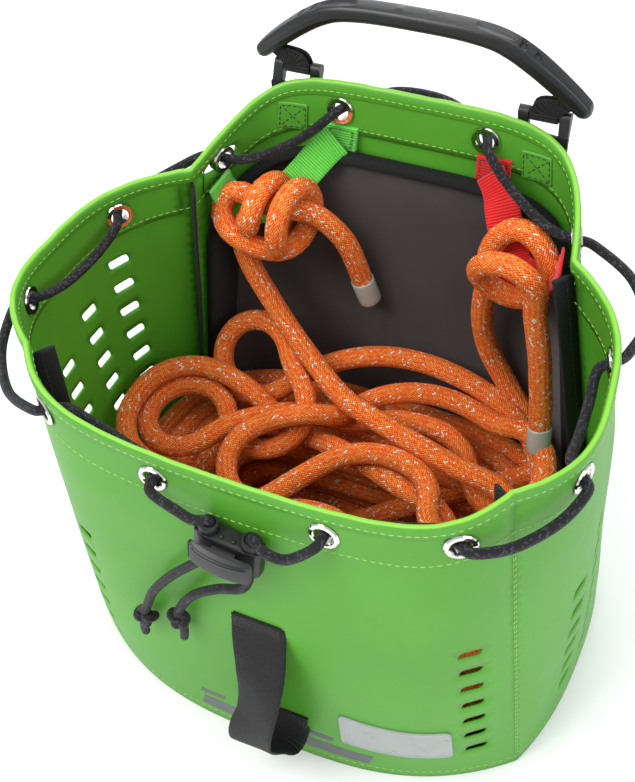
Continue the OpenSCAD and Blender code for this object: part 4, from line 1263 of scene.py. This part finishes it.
class ROPEBAG_OT_marks(bpy.types.Operator):
    """Welds the name window and prints the plain stripes"""
    bl_idname = "ropebag.marks"
    bl_label = "Window and stripes"

    def execute(self, context):
        window = layer_patch("name_window", FRONT, .675, .895, 28, 56, HALF_T + .05, .8, 3.2, finish("window film"),
                             border=.35, n=60, m=40)
        hand_over(window, "bag", "clear_film", "id_window")
        stripes = []
        for s0, s1, z0, z1 in ((.345, .475, 9, 19), (.5, .735, 9, 19), (.345, .405, 22.5, 27), (.60, .655, 22.5, 27)):
            stripes.append(layer_patch("stripe", FRONT, s0, s1, z0, z1, HALF_T + .02, .12, .6, finish("grey print"),
                                       lean=.35))
        stripe = joined(stripes)
        stripe.name = "printed_stripes"
        hand_over(stripe, "bag", "coated_fabric")
        return {"FINISHED"}


# ---------------------------------------------------------------- handle
GRIP = [(0, 303, 4.4), (14, 302.9, 4.4), (27, 302.3, 4.5), (40, 300.4, 4.6), (50, 296.6, 4.9), (60, 290.5, 5.0),
        (70, 283, 4.9), (79, 275.6, 4.6), (84.5, 270.8, 4.1), (88.2, 267.9, 3.0)]


class ROPEBAG_OT_handle(bpy.types.Operator):
    """Moulds the grip and sews its straps to the back rim"""
    bl_idname = "ropebag.handle"
    bl_label = "Handle"

    def execute(self, context):
        hand_over(self.grip(), "handle", "grip_plastic", "handle_grip")
        for side, name in ((-1, "left"), (1, "right")):
            hand_over(self.neck(side, name), "handle", "black_webbing", f"handle_strap_{name}")
            dress(f"handle_anchor_{name}", "lock plastic")
            self.patch(side, name)
        return {"FINISHED"}

    def grip(self):
        shape = [(-x, z, t) for x, z, t in GRIP[:0:-1]] + GRIP
        line = smooth_path([(x, HINGE_Y, z) for x, z, _ in shape], .55)
        thick = np.interp(line[:, 0], [p[0] for p in shape], [p[2] for p in shape])
        n, m = len(line), 56
        tangent = unit(np.gradient(line, axis=0))
        up = np.stack([-tangent[:, 2], 0 * tangent[:, 0], tangent[:, 0]], 1)
        angle = np.linspace(0, 2 * np.pi, m, endpoint=False)
        ca, sa = np.cos(angle), np.sin(angle)
        x = np.sign(ca) * np.abs(ca) ** .55
        y = np.sign(sa) * np.abs(sa) ** np.where(sa > 0, .5, .8)
        end = np.minimum(line[:, 0] - line[0, 0], line[-1, 0] - line[:, 0])
        tip = np.sqrt(np.clip(1 - (1 - np.clip(end / 3.2, 0, 1)) ** 2, .02, 1))
        half = (6.0 - 1.0 * ease(np.abs(line[:, 0]), 55, 86)) * tip
        wide = x[None] * half[:, None]
        high = y[None] * (thick * tip)[:, None]
        facet = (high > 0) & (np.abs(wide) > half[:, None] * .72)
        high = np.where(facet, high - (np.abs(wide) - half[:, None] * .72) * .7, high)
        dip = np.zeros_like(high)
        across, at = wide, np.abs(line[:, 0])[:, None]
        upper = ease(y[None], .3, .8)
        # a pointed scoop at each end of the flat top
        reach = np.clip((at - 30) / 18, 0, 1)
        scoop = ease(1 - np.abs(across) / (3.6 * np.sqrt(np.clip(1 - (2 * reach - 1) ** 2, 0, 1)) + 1e-6), 0, .5)
        dip += .75 * scoop * (reach > 0) * (reach < 1)
        # two short slots across each bend
        for middle in (51.5, 58.5):
            dip += 1.5 * ease(1.3 - np.abs(at - middle), 0, .5) * ease(3.4 - np.abs(across), 0, .6)
        # a plain raised oval in the middle
        oval = (line[:, 0][:, None] / 10.5) ** 2 + (across / 3.4) ** 2
        dip -= .3 * ease(1 - oval, 0, .12)
        high = high - dip * upper
        # a fine ridge along each side
        wide = wide + np.sign(wide) * .35 * np.exp(-((y[None] + .1) / .22) ** 2) * (np.abs(wide) > half[:, None] * .9)
        points = line[:, None] + np.array([0, 1.0, 0])[None, None] * wide[..., None] + up[:, None] * high[..., None]
        faces = grid_faces(n, m, close_cols=True) + [list(range(m)), [(n - 1) * m + i for i in range(m)][::-1]]
        grip = outward(mesh_piece("grip", points, faces, finish("grip plastic")))
        grip.data.set_sharp_from_angle(angle=math.radians(60))
        return grip

    def neck(self, side, name):
        """Webbing round the anchor bar that turns and narrows into the grip's end."""
        n = 40
        angle = np.linspace(math.radians(-40), math.radians(220), n)
        radius = 3.15
        wrap = np.stack([0 * angle + side * HINGE_X, HINGE_Y + radius * np.cos(angle),
                         HINGE_Z - radius * np.sin(angle)], 1)
        t = np.linspace(0, 1, 26)[1:]
        bend = t * t * (3 - 2 * t)
        parts = []
        for way in (1, -1):
            from_y = HINGE_Y + way * radius * math.cos(math.radians(40))
            x = side * (HINGE_X + 15.5 * bend)
            y = from_y + (HINGE_Y + way * 1.0 - from_y) * bend
            z = HINGE_Z + radius * math.sin(math.radians(40)) + 9.5 * t
            parts.append(np.stack([x, y, z], 1))
        line = evened(np.vstack([parts[0][::-1], wrap, parts[1]]), .5)
        share = ease(line[:, 2], 265.5, 272)
        across = np.stack([side * (1 - share), 0 * share, 0 * share], 1)
        thin = np.array([side * .707, 0, -.707])
        across = across + share[:, None] * thin * .55
        width = 14 - 8.4 * share
        return strap(f"handle_webbing_{name}", line, across, width, 1.25, finish("black webbing"))

    def patch(self, side, name):
        """The sewn patch inside the rim, with its box and cross of stitches."""
        s = .5 - side * HINGE_X / MOUTH_BACK
        edge = float(edge_of(BACK, s))
        w = WIDTH[BACK]
        z0, z1 = edge - 26.5, edge - 11
        patch = layer_patch(f"anchor_patch_{name}_cloth", BACK, s - 11 / w, s + 11 / w, z0, z1, HEM_IN - .1, -.8,
                            1.0, finish("bag fabric"))
        hand_over(patch, "bag", "coated_fabric", f"anchor_patch_{name}")
        rows = []
        a, b, m = 9.4, 6.2, (z0 + z1) / 2
        for way, off in ((-1, HEM_IN - 1.05), (1, HALF_T + .14)):
            for p, q in (((-a, -b), (a, -b)), ((a, -b), (a, b)), ((a, b), (-a, b)), ((-a, b), (-a, -b)),
                         ((-a, -b), (a, b)), ((-a, b), (a, -b))):
                x, y = (np.linspace(p[i], q[i], 12) for i in (0, 1))
                line = place(column_of(BACK, s + x / w), m + y, off)
                rows.append((line, place(column_of(BACK, s + x / w), m + y, off + way) - line))
        row = stitches(f"anchor_stitches_{name}", rows, finish("black thread"), 3.1, 2.2, .6)
        hand_over(row, "bag", "black_webbing")


# ---------------------------------------------------------------- webbing loops for the rope
GREEN_LOOP = [(-40, 112, 233), (-46, 106, 228), (-56, 96, 216), (-66, 86, 206), (-78, 80, 202), (-87, 78, 206),
              (-92, 76, 214), (-93, 75, 221)]
RED_LOOP = [(44, 112, 233), (52, 104, 225), (60, 94, 210), (68, 85, 200), (79, 82, 198), (87, 79, 205),
            (92, 76, 214), (93, 75, 221)]


class ROPEBAG_OT_rope_loops(bpy.types.Operator):
    """Sews the green and the red loop inside the back corners"""
    bl_idname = "ropebag.rope_loops"
    bl_label = "Rope loops"

    def execute(self, context):
        for colour, route, side, x in (("green", GREEN_LOOP, -1, -38), ("red", RED_LOOP, 1, 43)):
            back, free, corner = (0, -1, .1), (.2, -.7, .6), (-side, -.2, .1)
            faces = [back, back, free, free, free, np.add(free, corner), corner, corner]
            line = smooth_path(route, 1.2)
            at = np.linspace(0, 1, len(line))
            look = unit(np.stack([np.interp(at, np.linspace(0, 1, 8), [f[i] for f in faces]) for i in range(3)], 1))
            across = np.cross(unit(np.gradient(line, axis=0)), look)
            loop = strap(f"{colour}_loop_webbing", line, across, 18, 1.6, finish(f"{colour} webbing"))
            hand_over(loop, "bag", f"{colour}_webbing", f"{colour}_loop")
            s, w = .5 - x / MOUTH_BACK, WIDTH[BACK]
            patch = layer_patch(f"{colour}_loop_patch_webbing", BACK, s - 11.5 / w, s + 11.5 / w, 225.2, 239.4,
                                HEM_IN - .1, -1.7, .8, finish(f"{colour} webbing"), lean=-.12)
            hand_over(patch, "bag", f"{colour}_webbing", f"{colour}_loop_patch")
            rows = []
            for dx in (-8.6, -7.6, 7.6, 8.6) if colour == "green" else (-8.6, 8.6):
                z = np.linspace(227, 238, 8)
                c = column_of(BACK, s + (dx - .12 * (z - 232)) / w)
                line = place(c, z, HEM_IN - 1.95)
                rows.append((line, line - place(c, z, HEM_IN)))
            for z in (227.3, 237.6):
                xx = np.linspace(-8.6, 8.6, 10)
                c = column_of(BACK, s + (xx - .12 * (z - 232)) / w)
                line = place(c, 0 * xx + z, HEM_IN - 1.95)
                rows.append((line, line - place(c, 0 * xx + z, HEM_IN)))
            hand_over(stitches(f"{colour}_loop_stitches", rows, finish(f"{'green' if side < 0 else 'black'} thread"),
                               2.2, 1.7, .6), "bag", f"{colour}_webbing")
        return {"FINISHED"}


# ---------------------------------------------------------------- rope
TAIL_GREEN = [(-18, 91, 142), (-21, 90, 156), (-24, 89, 170), (-28, 88, 184), (-35, 86, 196), (-44, 84, 204)]
KNOT_GREEN = [(-54, 82, 208), (-66, 80, 209), (-77, 80, 212), (-86, 80, 213), (-92, 75, 208), (-89, 68, 201),
              (-80, 64, 196), (-66, 65, 191), (-56, 72, 187), (-51, 84, 188), (-49, 95, 198), (-50, 94, 212),
              (-52, 82, 221), (-54, 69, 217), (-55, 63, 205), (-57, 66, 193), (-62, 78, 186), (-65, 91, 190),
              (-65, 97, 204), (-66, 90, 217), (-68, 76, 221), (-70, 65, 213), (-73, 66, 203), (-79, 74, 199)]
RISER_GREEN = [(-85, 76, 191), (-85, 74, 182), (-82, 72, 170), (-76, 70, 158), (-68, 67, 147), (-58, 62, 137),
               (-46, 56, 128), (-33, 49, 121), (-17, 40, 116), (7, 30, 114), (33, 23, 112), (58, 19, 110),
               (80, 13, 108)]
TOP = [(94, 0, 104), (100, -16, 100), (95, -30, 99), (84, -26, 103), (72, -10, 107), (60, 4, 109), (44, 12, 109),
       (28, 15, 109), (12, 14, 109), (-1, 7, 108), (-10, -5, 108), (-17, -18, 107), (-28, -34, 104), (-48, -47, 98),
       (-72, -42, 97), (-97, -30, 100), (-118, -25, 103), (-131, -16, 105), (-136, 0, 107), (-131, 18, 108),
       (-118, 31, 109), (-104, 37, 108), (-88, 38, 108), (-70, 34, 106), (-54, 30, 103), (-36, 26, 99), (-12, 20, 98),
       (14, 12, 98), (40, 2, 98), (60, -10, 97), (74, -26, 95), (72, -42, 93), (56, -44, 95), (38, -34, 98),
       (18, -30, 100), (-2, -28, 101), (-22, -30, 101), (-42, -36, 100), (-56, -32, 102), (-64, -20, 105),
       (-63, -6, 106), (-56, 6, 106), (-43, 16, 106), (-28, 25, 106), (-15, 37, 107), (-6, 50, 107), (8, 62, 106),
       (24, 68, 106), (42, 69, 106), (60, 67, 105), (75, 60, 104), (92, 46, 102), (104, 28, 98), (106, 10, 95),
       (98, 12, 93), (90, 28, 94), (78, 37, 96), (62, 42, 97), (44, 48, 97), (24, 52, 97), (4, 47, 98), (-18, 36, 99),
       (-38, 28, 101), (-56, 20, 102), (-72, 10, 102), (-84, -4, 101), (-96, -16, 99), (-112, -16, 96), (-122, -4, 97),
       (-124, 10, 100), (-116, 22, 101), (-102, 27, 101), (-88, 26, 100), (-74, 18, 99), (-62, 6, 98), (-50, 0, 96),
       (-36, 6, 95), (-30, 20, 97), (-38, 32, 103), (-48, 40, 113), (-58, 52, 121), (-70, 62, 124), (-84, 66, 122),
       (-97, 62, 117), (-101, 50, 111), (-94, 40, 106), (-80, 36, 102), (-62, 40, 102), (-50, 50, 106), (-38, 62, 110),
       (-22, 74, 112), (-6, 81, 113), (14, 83, 112), (34, 82, 111), (54, 76, 110), (72, 68, 108), (90, 56, 104),
       (104, 40, 98), (111, 20, 92), (112, 0, 86), (108, -24, 81), (98, -48, 79)]
RISER_RED = [(98, 52, 84), (92, 62, 93), (84, 69, 101), (74, 76, 109), (64, 81, 120), (56, 83, 134), (52, 84, 148),
             (51, 84, 162), (52, 84, 176), (54, 84, 190)]
KNOT_RED = [(53, 86, 203), (58, 89, 215), (69, 89, 222), (81, 85, 217), (87, 80, 205), (82, 77, 193), (70, 76, 188),
            (58, 74, 194), (53, 70, 206), (59, 65, 218), (71, 63, 222), (81, 63, 216), (85, 64, 206)]
TAIL_RED = [(85, 63, 196), (88, 60, 182), (91, 57, 168), (93, 54, 154), (95, 51, 140), (96, 48, 126), (97, 45, 112)]


def flaked_layers(count, pitch, low):
    """Racetrack turns laid side by side, layer on layer, winding in and then out again."""
    around = np.linspace(0, 1, 121)[:-1]
    line = []
    for i in range(count):
        z = low + i * (pitch + .15)
        rim = place(around * COLUMNS, 60, PAD_IN - 10, loose=False)[:, :2]
        spine = np.stack([np.clip(rim[:, 0], -52, 52), np.full(len(rim), -6.0)], 1)
        turns = 4
        at = np.arange(turns * len(rim) + 1)
        share = at / len(rim)
        if i % 2:
            share = turns - share
        r, q = rim[at % len(rim)], spine[at % len(rim)]
        step = (pitch + .25) / np.linalg.norm(r - q, axis=1)
        p = q + (r - q) * (1 - share * step)[:, None]
        line.append(np.column_stack([p, np.full(len(p), z)]))
    return line


def settle(line, fixed, diameter, low, rounds=140):
    """Lets the loose strands push each other apart until they lie over and beside one another."""
    x = line.copy()
    n = len(x)
    gap = np.linalg.norm(np.diff(x, axis=0), axis=1)
    free = (~fixed).astype(float)[:, None]
    wall = place(np.linspace(0, COLUMNS, 40, endpoint=False), 100, PAD_IN - 7.2, loose=False)[:, :2]
    wall_n = unit(np.roll(wall, -1, axis=0) - wall)
    wall_n = np.stack([wall_n[:, 1], -wall_n[:, 0]], 1)
    pairs = None
    i_all, j_all = np.triu_indices(n, 4)
    for turn in range(rounds):
        if turn % 5 == 0:
            d = x[i_all] - x[j_all]
            close = (d * d).sum(1) < (diameter * 1.5) ** 2
            pairs = i_all[close], j_all[close]
        i, j = pairs
        d = x[i] - x[j]
        r = np.linalg.norm(d, axis=1)
        push = np.maximum(0, diameter * 1.01 - r)
        d = d * (1, 1, 1.8) + np.array([0, 0, 1e-3]) * np.sign(j - i)[:, None]
        d = d / np.maximum(np.linalg.norm(d, axis=1), 1e-6)[:, None] * push[:, None] * .5
        move, hits = np.zeros_like(x), np.ones(n)
        np.add.at(move, i, d)
        np.add.at(move, j, -d)
        np.add.at(hits, i[push > 0], .6)
        np.add.at(hits, j[push > 0], .6)
        x += free * move / hits[:, None] * 1.2
        for step, limit in ((2, 2 * 25 * math.sin(2 * 6 / 50)), (4, 2 * 25 * math.sin(4 * 6 / 50)),
                            (7, 2 * 24 * math.sin(7 * 6 / 48))):
            d = x[step:] - x[:-step]
            r = np.linalg.norm(d, axis=1)
            short = np.maximum(0, limit - r) * .25
            d = d / np.maximum(r, 1e-6)[:, None] * short[:, None]
            x[step:] += d * free[step:]
            x[:-step] -= d * free[:-step]
        for _ in range(3):
            for start in (0, 1):
                a, b = np.arange(start, n - 1, 2), np.arange(start + 1, n, 2)
                d = x[b] - x[a]
                r = np.linalg.norm(d, axis=1)
                d = d * ((r - gap[a]) / np.maximum(r, 1e-6) * .5)[:, None]
                x[a] += d * free[a]
                x[b] -= d * free[b]
        smooth = x.copy()
        smooth[1:-1] = x[1:-1] * .8 + (x[:-2] + x[2:]) * .1
        x = x + (smooth - x) * free
        over = ((x[:, None, :2] - wall[None]) * wall_n[None]).sum(-1)
        worst = over.argmax(1)
        deep = np.maximum(0, over[np.arange(n), worst])
        x[:, :2] -= wall_n[worst] * (deep * free[:, 0])[:, None]
        x[:, 2] = np.where(fixed, x[:, 2], np.maximum(x[:, 2], low))
    return x


class ROPEBAG_OT_rope(bpy.types.Operator):
    """Flakes the rope into the bag and ties its ends to the two loops"""
    bl_idname = "ropebag.rope"
    bl_label = "Rope"

    def execute(self, context):
        sizes = context.scene.ropebag_sizes
        d = sizes.rope / MM
        layers = flaked_layers(sizes.rope_layers, d, 4 + d / 2)
        top_z = layers[-1][0, 2]
        knot = [(x, y - 2, z) for x, y, z in KNOT_GREEN]
        start = smooth_path(TAIL_GREEN + knot + RISER_GREEN[:8], 6)
        loose = smooth_path(RISER_GREEN[7:] + TOP, 6)
        fixed = np.zeros(len(loose), bool)
        fixed[:6] = True
        fixed[-4:] = True
        loose = settle(loose, fixed, d, top_z + d)
        stack = layers[::-1]
        rest = [stack[0]]
        for part in stack[1:]:
            rest.append(part if np.linalg.norm(part[0] - rest[-1][-1]) < np.linalg.norm(part[-1] - rest[-1][-1])
                        else part[::-1])
        low = np.vstack(rest)[::2]
        climb = self.climb(low[-1], np.array(RISER_RED[0]))
        end = smooth_path(list(climb) + RISER_RED + KNOT_RED + TAIL_RED, 6)
        line = np.vstack([start[:-1], loose, low[1:], end[1:]])
        line = smooth_path(line, 5)
        rope = tube("rope", line, d, 16, finish("rope braid"))
        hand_over(rope, "bag", "rope", *[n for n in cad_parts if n.startswith("rope_") and "sleeve" not in n])
        for name, (tip, inner) in (("green", (TAIL_GREEN[0], TAIL_GREEN[1])), ("red", (TAIL_RED[-1], TAIL_RED[-2]))):
            hand_over(self.sleeve(name, np.array(tip, float), np.array(inner, float), d), "bag", "rope_sleeve",
                      f"rope_sleeve_{name}")
        return {"FINISHED"}

    def climb(self, low, high):
        """Up the side of the pile from the lowest layer to the second riser."""
        t = np.linspace(0, 1, 6)[:-1, None]
        return low * (1 - t) + high * t

    def sleeve(self, name, tip, inner, d):
        """A shrunk sleeve over a cut end, with its pinched mouth."""
        axis = unit(tip - inner)
        profile = [(-15.5, d / 2 - .1), (-15.5, d / 2 + .45), (-14.6, d / 2 + .6), (-8, d / 2 + .55), (-4, d / 2 + .62),
                   (0, d / 2 + .5), (.9, d / 2 + .2), (1.2, d / 2 - .8), (.9, d / 2 - 2.6), (.7, .4)]
        side = unit(np.cross(axis, (0, 0, 1)))
        up = np.cross(axis, side)
        n = 32
        angle = np.linspace(0, 2 * np.pi, n, endpoint=False)
        ring = np.cos(angle)[:, None] * side + np.sin(angle)[:, None] * up
        points = np.stack([tip + axis * a + ring * (r + .12 * np.sin(3 * angle + a))[:, None] for a, r in profile])
        faces = grid_faces(len(profile), n, close_cols=True) + [[(len(profile) - 1) * n + i for i in range(n)]]
        return outward(mesh_piece(f"rope_end_{name}", points, faces, finish("shrunk sleeve")))


# ---------------------------------------------------------------- sidebar and run
STEPS_IN_ORDER = (ROPEBAG_OT_stage, ROPEBAG_OT_rope, ROPEBAG_OT_drawcord, ROPEBAG_OT_walls, ROPEBAG_OT_base,
                  ROPEBAG_OT_mouth, ROPEBAG_OT_corner_strips, ROPEBAG_OT_pad, ROPEBAG_OT_eyelets,
                  ROPEBAG_OT_cord_lock, ROPEBAG_OT_front_loop, ROPEBAG_OT_marks, ROPEBAG_OT_handle,
                  ROPEBAG_OT_rope_loops)


class ROPEBAG_PT_sidebar(bpy.types.Panel):
    bl_idname = "ROPEBAG_PT_sidebar"
    bl_label = "Rope Storage Bag"
    bl_space_type = "VIEW_3D"
    bl_region_type = "UI"
    bl_category = "Rope Bag"

    def draw(self, context):
        for group in (context.scene.ropebag_sizes, context.scene.ropebag_colours):
            box = self.layout.box()
            for name in group.__annotations__:
                box.prop(group, name)
        for step in STEPS_IN_ORDER:
            self.layout.operator(step.bl_idname)


CLASSES = (RopeBagSizes, RopeBagColours, *STEPS_IN_ORDER, ROPEBAG_PT_sidebar)


def register():
    for c in CLASSES:
        bpy.utils.register_class(c)
    bpy.types.Scene.ropebag_sizes = bpy.props.PointerProperty(type=RopeBagSizes)
    bpy.types.Scene.ropebag_colours = bpy.props.PointerProperty(type=RopeBagColours)


def unregister():
    del bpy.types.Scene.ropebag_sizes, bpy.types.Scene.ropebag_colours
    for c in reversed(CLASSES):
        bpy.utils.unregister_class(c)


def main():
    register()
    for step in STEPS_IN_ORDER:
        name = step.bl_idname.split(".")[1]
        if getattr(bpy.ops.ropebag, name)() != {"FINISHED"}:
            raise RuntimeError(f"{name} did not finish")


if __name__ == "__main__":
    main()
